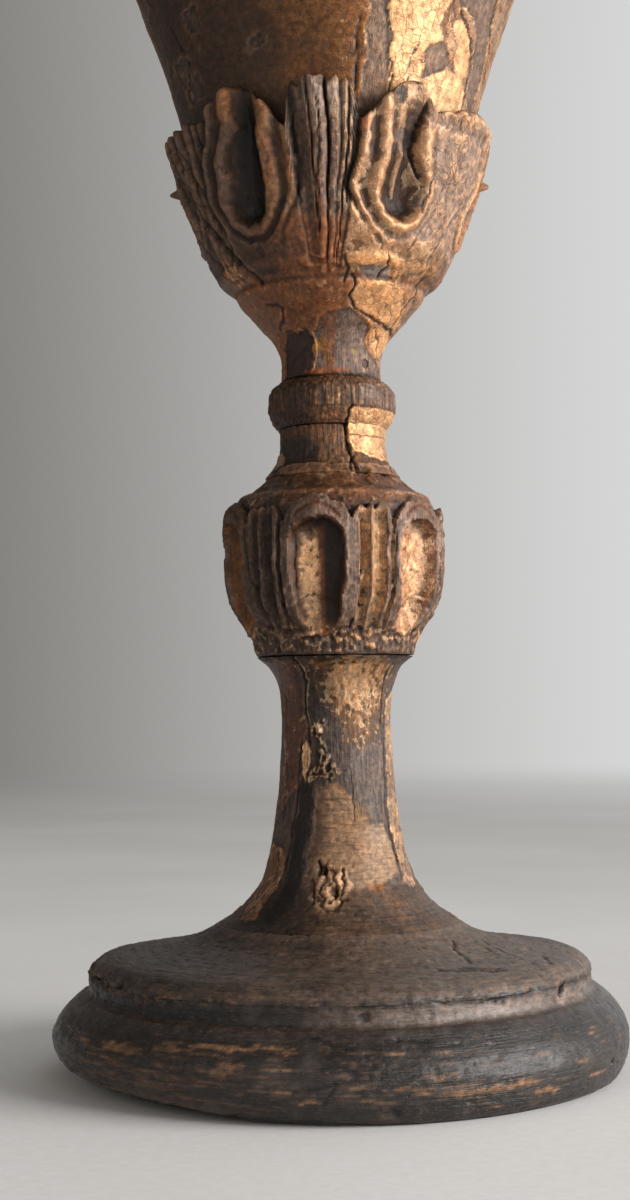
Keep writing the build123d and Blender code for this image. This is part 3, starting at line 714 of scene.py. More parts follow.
    crack(s, [(-33, 82.2), (-31, 79.8), (-29, 77.6), (-33, 73.9), (-32, 71.4), (-31, 68.4), (-28, 65.4)], 0.2, 0.3, 0.6, lin(24, 18, 14))
    edge = s.line([(-31.5, 82.2), (-29.5, 79.8), (-27.5, 77.6), (-31.5, 73.9), (-30.5, 71.4), (-30, 68.4)], 0.6)
    s.over(lin(196, 164, 128), np.exp(-((edge / 0.16) ** 2)) * 0.7)
    crack(s, [(-38, 66), (-41, 59.9), (-43, 53.9), (-47, 45.0), (-47, 40.2)], 0.17, 0.35, 0.5)
    crack(s, [(57, 79.5), (56, 73.6), (56, 69)], 0.22, 0.45, 0.6)
    crack(s, [(60, 66), (58, 59.7), (52, 52.5), (55, 45.5), (57, 39)], 0.16, 0.25, 0.5)
    crack(s, [(74, 71), (80, 60), (77, 50), (70, 41)], 0.14, 0.22, 0.5)
    crack(s, [(14, 60), (15, 55), (16, 50)], 0.13, 0.15, 0.4, lin(60, 46, 38))
    crack(s, [(-62, 44), (-55, 40), (-58, 35), (-64, 31.5)], 0.2, 0.35, 0.6)
    crack(s, [(-64, 75), (-66, 66), (-60, 58), (-63, 50)], 0.14, 0.2, 0.7)
    for k, (t, z, a, b) in enumerate(scattered(5, 9, 38, 78)):
        t = 100 + 160 * a if t > 0 else -100 - 160 * a
        crack(s, [(t, z), (t + 3 * b, z - 6 - 8 * b), (t - 3 + 5 * a, z - 12 - 10 * a)], 0.16, 0.25, 0.9)

    s.gold = np.maximum.reduce([
        np.where(gold > -0.8, -0.62 + 0.8 * n4 + 0.16 * gold - 0.75 * grit + 0.7 * np.exp(-(((T - 16) / 17) ** 2)) * step(Z, 67, 75), -1.0),
        np.where(strip > 0, n2 + 0.3 * n4 - 0.15, -1.0),
        np.where(coat_b > 0, 1.1 * n2 - 0.05 + 0.3 * n4, -1.0),
        np.where(redl > 0, n2 + n4 * 0.6 - 0.75, -1.0),
        np.where(flbl > 0, n2 + n4 * 0.5 - 0.35, -1.0)])
    s.gold = np.clip(s.gold, -1, 1) * out - (1 - out)
    s.speck = np.where(gold > -0.8, 0.95, 0.5)
    s.grain = out * (1 - step(tan, -0.5, 0.4)) * step(Z, 36, 46) * (1 - 0.75 * up_coat) * (1 - 0.7 * g_in)
    s.turned = out * np.maximum(step(tan, -0.5, 0.4), 1 - step(Z, 33, 42)) * 0.9
    s.craq = out * up_coat * 0.55 * (1 - g_in)
    s.rough = 0.50 + 0.08 * n2 - 0.06 * step(redl, -0.1, 0.3) - 0.05 * step(grey, -0.3, 0.5)
    # painted shade darker in the hollows, painted highlight lighter on the edges
    h = s.bury(1.0, 4, 4)
    s.tone(np.clip(1.0 - 1.5 * np.clip(h, 0, 0.35) + 0.8 * np.clip(-h, 0, 0.2), 0.4, 1.25))
    ins = 1 - out
    s.over(lin(150, 118, 84), ins)
    s.turned = np.where(ins > 0, 0.5, s.turned)
    s.gold = np.where(ins > 0, -1.0, s.gold)
    return s.mesh(material, "chalice", ["stem"], 50)


# ------------------------------------------------------------------------------------------
# knop: wide flutes with bundles of narrow ones between
# ------------------------------------------------------------------------------------------
FLUTE_AT = -9.0


def make_knop(material):
    s = Skin("knop_carved", 520)
    s.add("in", [(6.05, 82.82), (15.9, 82.82)], 3.0, False)
    s.add("out", [(15.9, 82.82), (16.05, 83.2), (16.35, 84.6), (16.6, 85.8), (17.2, 87.0), (18.3, 88.4), (20.9, 92.2), (21.7, 94.6),
                  (22.35, 98.3), (22.6, 102.4), (22.72, 108.0), (22.5, 111.2), (21.9, 112.8), (20.7, 113.9), (19.6, 114.9), (18.8, 115.9),
                  (17.8, 116.9), (16.05, 117.95), (14.6, 118.6), (13.6, 118.95)], 0.30)
    s.add("in", [(13.6, 118.95), (6.05, 118.95)], 3.0, False)
    s.add("in", [(6.05, 118.95), (6.05, 82.85)], 4.0, False)
    s.close(True)
    P, C, T, Z, out = s.P, s.C, s.TT, s.Z, s.shown
    n1, n2, n4 = fbm(P, 12, 3, 141), fbm(P, 4, 3, 142), fbm(P, 1.3, 3, 147)
    up = noise(P, (0.8, 0.8, 14), 201) + 0.6 * noise(P, (0.42, 0.42, 8), 202)
    shift = 1.2 * noise(P, 9, 203) + 0.5 * noise(P, 3, 204)
    f = (T + shift - FLUTE_AT) % 60.0            # 0 at the middle of a wide flute
    g = np.where(f > 30, f - 60, f)
    period = np.floor(((T + shift - FLUTE_AT) + 30) / 60.0).astype(int) % 6
    deg = 22.4 * RAD                              # mm per degree on the widest part

    # wide flute: round-topped, pointed below
    zt, zb = 109.6 + 0.5 * n1, 86.6 + 0.4 * n2
    half = 14.8 * np.sqrt(np.clip(1 - np.clip((Z - 104.0) / (zt - 104.0), 0, 1) ** 2.0, 0, 1))
    half = half * np.clip((Z - zb) / 3.4, 0, 1) ** 0.45 * (0.86 + 0.14 * step(Z, 88, 100))
    q = np.abs(g) / np.maximum(half, 0.3)
    flute = np.where(half > 0.3, np.sqrt(np.clip(1 - q**2.3, 0, 1)), 0) * out
    deep = 3.5 * step(Z, 86.5, 92.0)
    # narrow pair between: tables of height over 0..60
    xs = [0, 14.8, 15.3, 15.9, 20.4, 21.6, 22.6, 24.6, 26.6, 27.6, 28.4, 29.4, 31.4, 34.0, 35.6, 36.6, 38.6, 39.4, 40.4, 41.4, 42.4, 46.4, 47.4, 60]
    hs = [0, 0.0, 0.12, -0.10, -0.22, -0.05, -1.0, -1.5, -1.0, 0.0, 0.05, -0.9, -1.6, -1.5, -0.8, 0.05, 0.0, -0.9, -0.9, -0.1, -0.25, -0.15, 0.1, 0]
    narrow = np.interp(f, xs, hs)
    ends = step(Z, 87.0, 92.5) * (1 - step(Z, 108.5, 112.5))
    D = -deep * flute + narrow * (0.25 + 0.75 * ends) * out * step(Z, 85.8, 88.0)
    # leaf outline against the smooth shoulder
    top_line = np.interp(f, [0, 6, 12, 16.0, 18.5, 20.5, 23, 26, 28.5, 31, 33.5, 36.5, 39.5, 42.0, 44.5, 48, 54, 60],
                         [114.0, 113.7, 112.6, 110.4, 109.2, 110.6, 112.3, 111.0, 112.8, 110.8, 112.2, 112.4, 110.4, 109.0, 110.6, 112.6, 113.7, 114.0])
    top_line = top_line + 0.45 * n2 + 0.25 * n4
    above = step(Z - top_line, -0.25, 0.3) * out
    shoulder_r = np.interp(Z, [106, 110.0, 112.7, 113.9, 114.9, 118.95], [21.2, 20.9, 20.5, 20.0, 19.5, 13.6])
    room = np.clip(s.R - shoulder_r, 0, 3)
    D = D * (1 - above) - room * above
    # arch line round the head of each wide flute
    arch = np.exp(-(((Z - (112.2 - 0.02 * g**2)) / 0.45) ** 2)) * (np.abs(g) < 11.5) * out
    D -= 0.35 * arch * (1 - above)
    s.D += D
    # torn lower band
    band = step(Z, 82.9, 84.0) * (1 - step(Z, 87.2, 89.2 + 0.6 * n2)) * out
    f1, f2, own = cells(P, (1.5, 1.5, 1.7), 6)
    torn = noise(P, (1.6, 1.6, 4.2), 208) + 0.7 * noise(P, (0.8, 0.8, 2.2), 209)
    s.D += band * (0.26 * step(torn, -0.1, 0.6) - 0.26 * step(-torn, 0.35, 0.9) + 0.16 * n4 - 0.05)
    s.D += band * 0.35 * np.exp(-(((Z - 86.9 - 0.7 * n2) / 0.5) ** 2)) * step(noise(P, 2.6, 210), -0.3, 0.3)
    s.D += out * (0.10 * n2 + 0.05 * n4) * (0.5 + 0.5 * step(Z, 86, 90))
    wood = step(noise(P, (3.4, 3.4, 9.0), 205) + 0.4 * n2, -0.05, 0.25)
    s.D += out * (1 - above) * ends * 0.055 * up * wood
    # flaked coat on lands and shoulder
    coat = 1.5 * noise(P, (4.2, 4.2, 6.5), 206) + 0.7 * n2 + 0.45
    coat = np.maximum(coat, 0.7 * flute * 2 - 0.4)
    for t, z, a, b in ((11, 103, 2.4, 6.5), (40, 104, 3.0, 7.0), (10, 93, 1.8, 2.6)):
        coat = np.minimum(coat, -s.blob(t, z, a, b, 0.8))
    up_coat = layer(s, np.where(out > 0, coat, -3.0), 0.24, 0.08) * out
    s.D -= 0.2 * out
    f_pit = s.poly([(-18, 106.9), (-14, 107.6), (-10.5, 106.1), (-13, 104.6), (-16, 105.1)], 0.4)
    s.D -= 0.55 * step(f_pit, -0.1, 0.5)

    # paint
    s.paint[:] = lin(92, 72, 58)
    s.over(lin(120, 92, 70), out * step(n2, 0.0, 0.8) * 0.6)
    s.over(lin(58, 44, 36), out * step(-n1, 0.0, 0.8) * 0.7)
    lilac = out * (1 - step(coat, -0.2, 0.3))
    s.over(lin(118, 98, 86), lilac * 0.75)
    s.over(lin(70, 52, 42), lilac * step(up, 0.2, 1.0) * 0.6)
    fl = step(flute, 0.05, 0.4)
    s.over(lin(146, 92, 42), fl * 0.85)
    s.over(lin(104, 66, 38), above * 0.75)
    s.over(lin(66, 48, 36), above * step(-n2 + 0.3 * n4, 0.0, 0.8) * 0.8)
    s.over(lin(164, 96, 44), arch * 0.5 + fl * step(Z, 104, 109) * 0.35)
    s.over(lin(134, 104, 78), band * step(n4, 0.0, 0.6) * 0.75)
    s.over(lin(58, 38, 28), band * step(own, 0.45, 0.15) * 0.9)
    s.over(lin(160, 120, 84), band * step(s.D - blur(s.D, 2, 2), 0.06, 0.25) * 0.8)
    # painted shade over the left side, less in the flutes
    left = turnside(T, -68, 78)
    s.over(lin(46, 36, 30), out * left * (0.55 + 0.15 * n2) * (1 - 0.35 * fl))
    wave = 1.0 * noise(P, (4, 4, 6), 212) + 0.5 * n4
    s.over(lin(110, 72, 44), turnside(T, -9, 19) * fl * 0.85)
    s.over(lin(82, 50, 32), turnside(T, -9, 19) * fl * step(Z, 101.0 + wave, 105.0) * 0.8)
    s.over(lin(24, 18, 14), step(f_pit, -0.1, 0.3) * 0.9)
    # leaf in the flutes and on the right-hand narrow ones
    worn = 0.30 + 0.55 * n4 + 0.25 * n2
    leaf = np.where(flute > 0.2, worn + 0.45 * flute - 0.1, -1.0)
    leaf = np.where((narrow < -0.5) & (ends > 0.4) & (above < 0.5), worn + 0.15, leaf)
    leaf = np.where(leaf > -1, leaf - 1.4 * left - 0.5 * step(Z, 103, 108) * (np.abs(turn(T, -8)) < 14), leaf)
    leaf = leaf - 1.6 * step(T + wave, -9.5, -6.5) * (1 - step(T, 10, 14)) - 1.0 * (1 - step(T + wave, -21.5, -18.5)) * (T > -30)
    leaf = leaf + 0.5 * turnside(T + wave, -14.0, 7) * (flute > 0.2) * (Z < 104) - 0.8 * turnside(T, -14, 9) * step(Z, 102, 106)
    leaf = leaf + 0.5 * turnside(T, 24, 13) * (narrow < -0.4) * (ends > 0.4)
    leaf = np.maximum(leaf, np.where((out > 0) & (above > 0.5), 0.5 * n4 + 0.5 * n2 - 0.45, -1))
    leaf = np.maximum(leaf, np.where(band > 0.4, n4 * 0.7 - 0.35, -1))
    s.gold = np.clip(np.where(out > 0, leaf, -1), -1, 1)
    s.speck = 0.75 * np.ones(s.shape)
    for k, pts in enumerate(([(14.5, 109), (14.6, 100), (14, 92), (9, 88)], [(-21.5, 108), (-21.8, 98), (-20.4, 91)],
                             [(31, 111), (34, 104), (33.5, 95), (30, 89)], [(44, 109), (38.5, 104), (38.6, 96)],
                             [(65, 108), (70, 100), (66, 92)], [(-52, 108), (-49, 98), (-41, 90)], [(-34, 108), (-33, 97), (-27, 89)],
                             [(120, 108), (122, 96), (118, 89)], [(-140, 109), (-137, 98), (-133, 90)])):
        crack(s, pts, 0.2, 0.4, 0.5)
    ring = np.exp(-(((Z - 83.0) / 0.3) ** 2)) * out
    s.over(lin(40, 29, 22), ring * 0.4)
    s.grain = out * (1 - 0.8 * fl) * (1 - above) * 0.9
    s.craq = out * up_coat * 0.6 * (1 - fl)
    s.rough = 0.48 + 0.07 * n2 - 0.05 * left
    # painted shade darker in the hollows, painted highlight lighter on the edges
    h = s.bury(1.0, 4, 5)
    s.tone(np.clip(1.0 - 0.85 * np.clip(h, 0, 0.7) + 0.8 * np.clip(-h, 0, 0.3), 0.3, 1.3))
    body = step(Z, 88, 90.5) * (1 - step(Z, 104, 108))
    # painted shade in the right half of the middle flute, and a painted highlight down its left wall
    s.over(lin(20, 11, 6), step(T + wave, -7.5, -4.0) * (1 - step(T + 0.4 * wave, 5.5, 7.5)) * fl * step(Z, 86.5, 89) * (1 - step(Z, 107, 110)) * 0.92)
    s.over(lin(226, 188, 148), turnside(T + wave, -14.0, 6.4) * body * fl * step(n4 + 0.3 * n2, -0.8, -0.2) * 0.95)
    s.gold = np.where((turnside(T + wave, -14.0, 6.4) * body * fl) > 0.3, np.minimum(s.gold, 0.1 + 0.5 * n4), s.gold)
    s.over(lin(214, 168, 118), turnside(T, 22, 15) * step(-narrow, 0.35, 0.8) * ends * (1 - above) * step(n4, -0.6, 0.0) * 0.95)
    s.gold = np.where((turnside(T, 22, 15) > 0.3) & (narrow < -0.4) & (ends > 0.3) & (above < 0.5), np.maximum(s.gold, 0.35 + 0.4 * n4), s.gold)
    s.over(lin(140, 120, 108), turnside(T, 38.5, 4.5) * step(Z, 96, 99) * (1 - step(Z, 109, 111)) * (1 - fl) * 0.7)
    s.over(lin(206, 166, 124), turnside(T, 50, 14) * body * fl * step(n4 + 0.3 * n2, -0.4, 0.3) * 0.8)
    ins = 1 - out
    s.over(lin(150, 118, 84), ins)
    s.gold = np.where(ins > 0, -1.0, s.gold)
    return s.mesh(material, "chalice", ["knop"], 46)


# ------------------------------------------------------------------------------------------
# neck and collar
# ------------------------------------------------------------------------------------------
def make_neck(material):
    s = Skin("neck_turned", 340)
    s.add("in", [(6.05, 119.0), (13.4, 119.0)], 3.0, False)
    s.add("out", [(13.4, 119.0), (13.75, 119.25), (13.1, 120.1), (12.35, 121.1), (11.74, 122.1), (11.25, 123.3), (10.95, 125.2), (10.92, 127.3),
                  (11.05, 129.3)], 0.2)
    s.add("in", [(11.05, 129.3), (6.05, 129.3)], 3.0, False)
    s.add("in", [(6.05, 129.3), (6.05, 119.0)], 3.0, False)
    s.close(True)
    P, C, T, Z, out = s.P, s.C, s.TT, s.Z, s.shown
    n1, n2, n4 = fbm(P, 10, 3, 241), fbm(P, 3.4, 3, 242), fbm(P, 1.1, 3, 247)
    up = noise(P, (0.7, 0.7, 9), 301) + 0.6 * noise(P, (0.4, 0.4, 5), 302)
    patch = s.poly([(14, 132), (18, 132), (58, 133), (92, 132), (104, 127), (90, 122.4), (54, 122.2), (34, 123.2), (21, 123.5), (15, 125.7),
                    (16, 128.9)], 0.6)
    back = fbm(P, (7, 7, 7), 3, 311) * 2.2 + 0.1 - 3 * (1 - step(np.abs(turn(T, -150)), 110, 70))
    low = 1.2 * noise(P, (5, 5, 3), 312) + 0.4 - 3 * step(Z, 120.8, 122.4)
    coat = np.maximum.reduce([patch, back, low])
    up_coat = layer(s, np.where(out > 0, coat, -3), 0.24, 0.10)
    s.D += out * (-0.20 + 0.09 * n2 + 0.05 * n4) + out * (1 - up_coat) * 0.07 * up
    s.paint[:] = lin(108, 78, 52)
    s.over(lin(64, 44, 32), out * step(-up + 0.6 * n2, 0.0, 0.9) * 0.75)
    s.over(lin(140, 104, 74), out * step(up + 0.4 * n4, 0.4, 1.1) * 0.6)
    s.over(lin(34, 27, 23), step(s.poly([(-70, 127.5), (-26, 126.8), (-12, 124.1), (-15, 120.6), (-60, 120.0), (-90, 123)], 1.2), -0.5, 0.7) * 0.85)
    s.over(lin(136, 94, 58), turnside(T, -2, 24) * out * step(Z, 123, 126) * step(up, -0.2, 0.6) * 0.75)
    # painted shade over the left side
    s.over(lin(54, 42, 36), turnside(T, -80, 60) * out * 0.6)
    s.over(lin(140, 92, 54), out * step(Z, 125.6, 128.2) * turnside(T, -2, 24) * step(n4 + 0.5 * up, -0.2, 0.5) * 0.7)
    s.over(lin(182, 142, 96), step(patch, -0.1, 0.25))
    s.over(lin(150, 116, 84), step(patch, -0.1, 0.25) * step(T, 48, 84) * 0.7)
    s.over(lin(128, 98, 76), step(low, -0.1, 0.3) * 0.6)
    s.over(lin(112, 84, 62), step(back, -0.1, 0.3) * 0.85)
    s.gold = np.where(patch > 0, 0.55 + 0.30 * n4 - 0.5 * step(T, 55, 90), -1.0)
    s.gold = np.maximum(s.gold, np.where(back > 0.1, n2 + 0.3 * n4, -1.0))
    s.gold = np.clip(np.where(out > 0, s.gold, -1), -1, 1)
    crack(s, [(19, 131), (15, 130.5), (13.2, 128.9), (16.2, 126.6), (14.6, 124.6), (20, 122.5), (22, 119.4)], 0.3, 0.65, 0.5, lin(20, 14, 11), 1.0)
    crack(s, [(22, 122.6), (17, 121.4), (15, 120.0)], 0.18, 0.35, 0.5)
    crack(s, [(14, 126.9), (34, 126.8), (56, 127.0), (84, 126.8)], 0.11, 0.12, 0.35, lin(110, 74, 44), 0.6)
    crack(s, [(60, 123.5), (70, 121.5), (64, 120)], 0.16, 0.3, 0.6)
    crack(s, [(-150, 129), (-146, 125), (-153, 121)], 0.22, 0.4, 0.6)
    crack(s, [(150, 128), (143, 124), (147, 120)], 0.18, 0.35, 0.6)
    pits(s, [(-155, 125.0, 0.95, 0.6)])
    s.speck = 0.6 * np.ones(s.shape)
    s.grain = out * (1 - 0.9 * up_coat)
    s.craq = out * up_coat * 0.45
    s.rough = 0.48 + 0.07 * n2
    # painted shade darker in the hollows, painted highlight lighter on the edges
    h = s.bury(1.0, 4, 4)
    s.tone(np.clip(1.0 - 1.3 * np.clip(h, 0, 0.4) + 0.8 * np.clip(-h, 0, 0.2), 0.35, 1.25))
    s.over(lin(60, 44, 34), np.exp(-(((Z - 129.35) / 0.12) ** 2)) * out * 0.35)
    ins = 1 - out
    s.over(lin(150, 118, 84), ins)
    return s.mesh(material, "chalice", ["neck"], 46)


def make_collar(material):
    s = Skin("collar_turned", 340)
    s.add("in", [(6.05, 129.35), (11.3, 129.35)], 3.0, False)
    s.add("out", [(11.3, 129.35), (11.75, 129.9), (12.35, 130.9), (12.8, 131.8), (13.0, 132.5)], 0.18)
    s.add("out", [(13.0, 132.5), (13.16, 132.8), (13.2, 134.2), (13.16, 135.8), (13.0, 136.7)], 0.18)
    s.add("out", [(13.0, 136.7), (12.55, 137.4), (11.75, 138.2), (10.95, 138.75), (10.6, 139.1)], 0.18)
    s.add("in", [(10.6, 139.1), (6.05, 139.1)], 3.0, False)
    s.add("in", [(6.05, 139.1), (6.05, 129.35)], 3.0, False)
    s.close(True)
    P, C, T, Z, out = s.P, s.C, s.TT, s.Z, s.shown
    n2, n4 = fbm(P, 3.2, 3, 342), fbm(P, 1.1, 3, 347)
    up = noise(P, (0.6, 0.6, 8), 401) + 0.6 * noise(P, (0.35, 0.35, 4), 402)
    coat = 1.6 * noise(P, (4, 4, 3.2), 406) + 0.7 * n2 - 0.15
    up_coat = layer(s, np.where(out > 0, coat, -3), 0.10, 0.0)
    s.D += out * (-0.14 + 0.06 * n2 + 0.10 * up)
    s.D -= 0.22 * step(noise(P, (3.0, 3.0, 1.6), 407), 0.45, 0.7) * np.exp(-(((Z - 132.5) / 0.5) ** 2)) * out
    s.D -= 0.18 * step(noise(P, (2.4, 2.4, 1.6), 408), 0.35, 0.7) * np.exp(-(((Z - 136.7) / 0.5) ** 2)) * out
    s.paint[:] = lin(98, 70, 48)
    s.over(lin(50, 36, 28), out * step(-up + 0.5 * n2, 0.0, 0.7) * 0.85)
    s.over(lin(150, 108, 70), out * step(up + n4 * 0.6, 0.25, 0.9) * 0.75)
    # pale streaks only on the right: painted light; the left side darker: painted shade
    s.over(lin(176, 136, 96), out * step(up + n4, 0.8, 1.3) * turnside(T, 30, 60) * 0.8)
    s.over(lin(44, 34, 28), turnside(T, -55, 62) * out * 0.65)
    s.over(lin(146, 128, 112), step(s.poly([(27, 137), (44, 137.4), (47, 134.4), (27, 134.2)], 0.8), -0.3, 0.3) * (0.6 + 0.2 * up))
    # a pale grey painted sheen on the far right
    s.over(lin(120, 98, 84), turnside(T, 70, 50) * out * (0.5 + 0.2 * up))
    under = out * (1 - step(Z, 132.1, 132.6))
    s.over(lin(104, 74, 50), under * 0.9)
    s.over(lin(150, 100, 58), under * turnside(T, -4, 22) * step(n4 + 0.6 * up, 0.0, 0.7) * 0.6)
    # painted shade on the left of the underside
    s.over(lin(40, 31, 26), under * turnside(T, -50, 46) * 0.8)
    patch = s.poly([(15.5, 128), (15, 131.2), (19, 133.4), (58, 133.4), (94, 133.4), (100, 128)], 0.5) * under - 3 * (1 - under)
    s.over(lin(182, 142, 96), step(patch, -0.1, 0.2))
    s.over(lin(132, 84, 46), out * step(Z, 138.0, 138.9) * step(n2, -0.3, 0.4) * 0.35)
    s.gold = np.where(coat > 0, 0.5 * n4 + 0.4 * up - 0.75 - 0.7 * turnside(T, -55, 70), -1)
    s.gold = np.where(patch > 0, 0.55 + 0.3 * n4 - 0.4 * step(T, 55, 90), s.gold)
    s.gold = np.clip(np.where(out > 0, s.gold, -1), -1, 1)
    s.speck = 0.9 * np.ones(s.shape)
    s.grain = out * 1.0
    s.craq = out * up_coat * 0.3
    s.rough = 0.50 + 0.07 * n2
    crack(s, [(19, 132.4), (15.5, 131.6), (16.5, 130.4), (13.2, 129.2)], 0.26, 0.5, 0.4, lin(20, 14, 11), 1.0)
    crack(s, [(-70, 138), (-68, 134), (-71, 130)], 0.16, 0.3, 0.4)
    crack(s, [(170, 138.6), (172, 134), (168, 130)], 0.2, 0.35, 0.4)
    # painted shade darker in the hollows, painted highlight lighter on the edges
    h = s.bury(1.0, 4, 4)
    s.tone(np.clip(1.0 - 1.3 * np.clip(h, 0, 0.4) + 0.8 * np.clip(-h, 0, 0.2), 0.35, 1.25))
    s.over(lin(28, 21, 17), np.exp(-(((Z - 139.1) / 0.3) ** 2)) * out * 0.8)
    ins = 1 - out
    s.over(lin(150, 118, 84), ins)
    return s.mesh(material, "chalice", ["collar"], 46)


# ------------------------------------------------------------------------------------------
# calyx: six hollowed lobes and six ridged bundles round the cup
# ------------------------------------------------------------------------------------------
LOBE_AT = -32.0
BOWL_OUT = [(8.55, 162.05), (12.4, 163.7), (17.2, 167.3), (21.8, 172.6), (25.3, 179.0), (27.0, 182.6), (28.5, 186.4), (29.75, 190.0), (31.1, 194.6),
            (31.98, 197.8), (33.23, 202.0), (34.59, 206.0), (36.06, 210.2), (37.62, 214.2), (38.99, 218.4), (41.45, 225.2), (43.95, 232.0),
            (46.2, 238.15)]


def make_calyx(material):
    n = 560
    s = Skin("calyx_carved", n)
    t = s.T
    inner = np.vstack([run([(0.0, 151.9), (6.05, 151.9)], 2.5, False), run([(6.05, 151.9), (6.05, 139.25)], 3.0, False)[1:],
                       run([(6.05, 139.25), (9.9, 139.25)], 2.0, False)[1:]])
    bulb = run([(9.9, 139.25), (10.2, 139.6), (10.2, 141.6), (10.33, 143.9), (10.95, 146.0), (12.1, 148.1), (14.06, 150.1), (15.9, 152.2),
                (17.7, 154.3), (19.3, 156.2), (19.75, 157.2), (20.3, 158.0), (21.6, 159.2), (22.96, 160.4)], 0.36)[1:]
    env = dense([(22.96, 160.4), (25.45, 164.5), (27.3, 168.6), (29.3, 173.8), (30.85, 177.9), (31.9, 182.0), (33.1, 186.2), (33.6, 188.4),
                 (33.75, 190.4), (33.7, 192.2), (33.5, 194.5)])
    env_s = np.r_[0.0, np.cumsum(np.hypot(*np.diff(env, axis=0).T))]

    # outline of the leaf tips over the bearing
    wob2 = noise(np.stack([33 * np.sin(t * RAD), -33 * np.cos(t * RAD), 0 * t], -1), 2.2, 502)
    lobe = [(-16, 184.4), (-11.5, 187.2), (-6, 190.2), (-1, 192.2), (3, 192.8), (5.5, 192.7), (7, 191.6), (9.5, 188.6), (13, 186.2), (15.5, 184.4)]
    spear = [(-13.6, 184.0), (-13.0, 189.6), (-12.5, 191.8), (-11.5, 192.0), (-9.2, 190.4), (-8.0, 192.3), (-5.5, 192.5), (-4, 191.9), (-2, 192.4),
             (-0.2, 192.7), (1.0, 191.0), (3.8, 192.4), (5.0, 191.1), (7.0, 192.0), (8.5, 191.0), (10.5, 188.4), (11.5, 185.8), (13, 184.4)]
    outline = [(-104, 185.2), (-100, 188.4), (-96, 189.6), (-92.5, 188.6), (-90, 187.2), (-87, 187.8), (-84, 188.4), (-76, 188.6), (-68, 188.0),
               (-61.5, 187.7), (-56, 188.1), (-51.5, 187.3), (-47.5, 187.9), (-46, 189.8), (-40, 191.7), (-37, 192.6), (-32, 191.9), (-27.5, 191.0),
               (-24.5, 188.9), (-22.8, 188.7), (-19, 185.8), (-15.4, 183.2)]
    outline += [(x - 1, z) for x, z in spear] + [(x + 28, z) for x, z in lobe[:-2]]
    outline += [(41, 187.5), (46, 188.2), (49, 187.9), (51.5, 189.2), (57, 189.7), (63, 190.5), (69, 190.2), (75, 189.7), (80, 188.4), (84, 187.4), (87, 188.6),
                (91, 190.6), (95, 190.9), (98, 189.2), (101, 187.0), (103.5, 184.8)]
    outline += [(118 - x, z - 0.6) for x, z in spear[::-1]] + [(148 - x, z - 0.4) for x, z in lobe[::-1]]
    outline += [(178.5 + x - 360, z) for x, z in spear] + [(208 - x - 360, z) for x, z in lobe[::-1]] + [(238 + x - 360, z - 0.5) for x, z in spear]
    outline = np.array(sorted(((x + 180) % 360 - 180, z) for x, z in outline))
    top = np.interp(t, outline[:, 0], outline[:, 1], period=360) + 0.22 * wob2
    top = (np.roll(top, 1) + 3 * top + np.roll(top, -1)) / 5
    s_top = np.interp(top, env[:, 1], env_s)

    rows_leaf = 92
    v = np.linspace(0, 1, rows_leaf + 1)[1:]
    sl = v[:, None] * s_top[None, :]
    Rl, Zl = np.interp(sl, env_s, env[:, 0]), np.interp(sl, env_s, env[:, 1])

    def level(rows):
        return np.repeat(rows[:, :1], n, 1), np.repeat(rows[:, 1:], n, 1)

    Ri, Zi = level(inner)
    Rb, Zb = level(bulb)
    s.R, s.Z = np.vstack([Ri, Rb, Rl]), np.vstack([Zi, Zb, Zl])
    s.row_tag = np.array(["in"] * len(inner) + ["out"] * (len(bulb) + rows_leaf))
    s.TT = np.repeat(t[None, :], len(s.R), 0)
    s.ring = False
    s.ready()
    # normals of the leaf rows from the envelope alone, so that tips don't shear
    nl = np.interp(sl, env_s, np.gradient(env[:, 1], env_s)), -np.interp(sl, env_s, np.gradient(env[:, 0], env_s))
    m = np.hypot(*nl)
    s.NR[-rows_leaf:], s.NZ[-rows_leaf:] = nl[0] / m, 0.15 * nl[1] / m
    s.NZ[:-rows_leaf] *= 0.7
    P, C, T, Z, out = s.P, s.C, s.TT, s.Z, s.shown
    n1, n2, n4 = fbm(P, 12, 3, 441), fbm(P, 4, 3, 442), fbm(P, 1.4, 3, 447)
    up = noise(P, (0.9, 0.9, 12), 511) + 0.6 * noise(P, (0.45, 0.45, 7), 512)
    sway = 0.9 * noise(P, (9, 9, 12), 513) + 0.35 * noise(P, 3.2, 514)
    A = (turn(T - LOBE_AT + sway, 0) + 30) % 60 - 30
    B = turn(T - LOBE_AT + sway, 0) % 60 - 30
    fade = step(Z, 160.0, 165.5)
    mm = 30.0 * RAD

    # lobes: a pear-shaped hollow with a rim, a wide channel round it and an outer border
    env_r = lambda z: np.interp(z, [158, 160.4, 164.5, 168.6, 173.8, 177.9, 182.0, 187.2, 194], [20.3, 22.96, 25.45, 27.3, 29.3, 30.85, 31.9, 33.3, 33.7])
    RZ = env_r(Z)
    wx = 0.60 * noise(P, 6.0, 520) + 0.14 * noise(P, 2.2, 521)
    wy = 0.60 * noise(P, 6.0, 522) + 0.14 * noise(P, 2.2, 523)

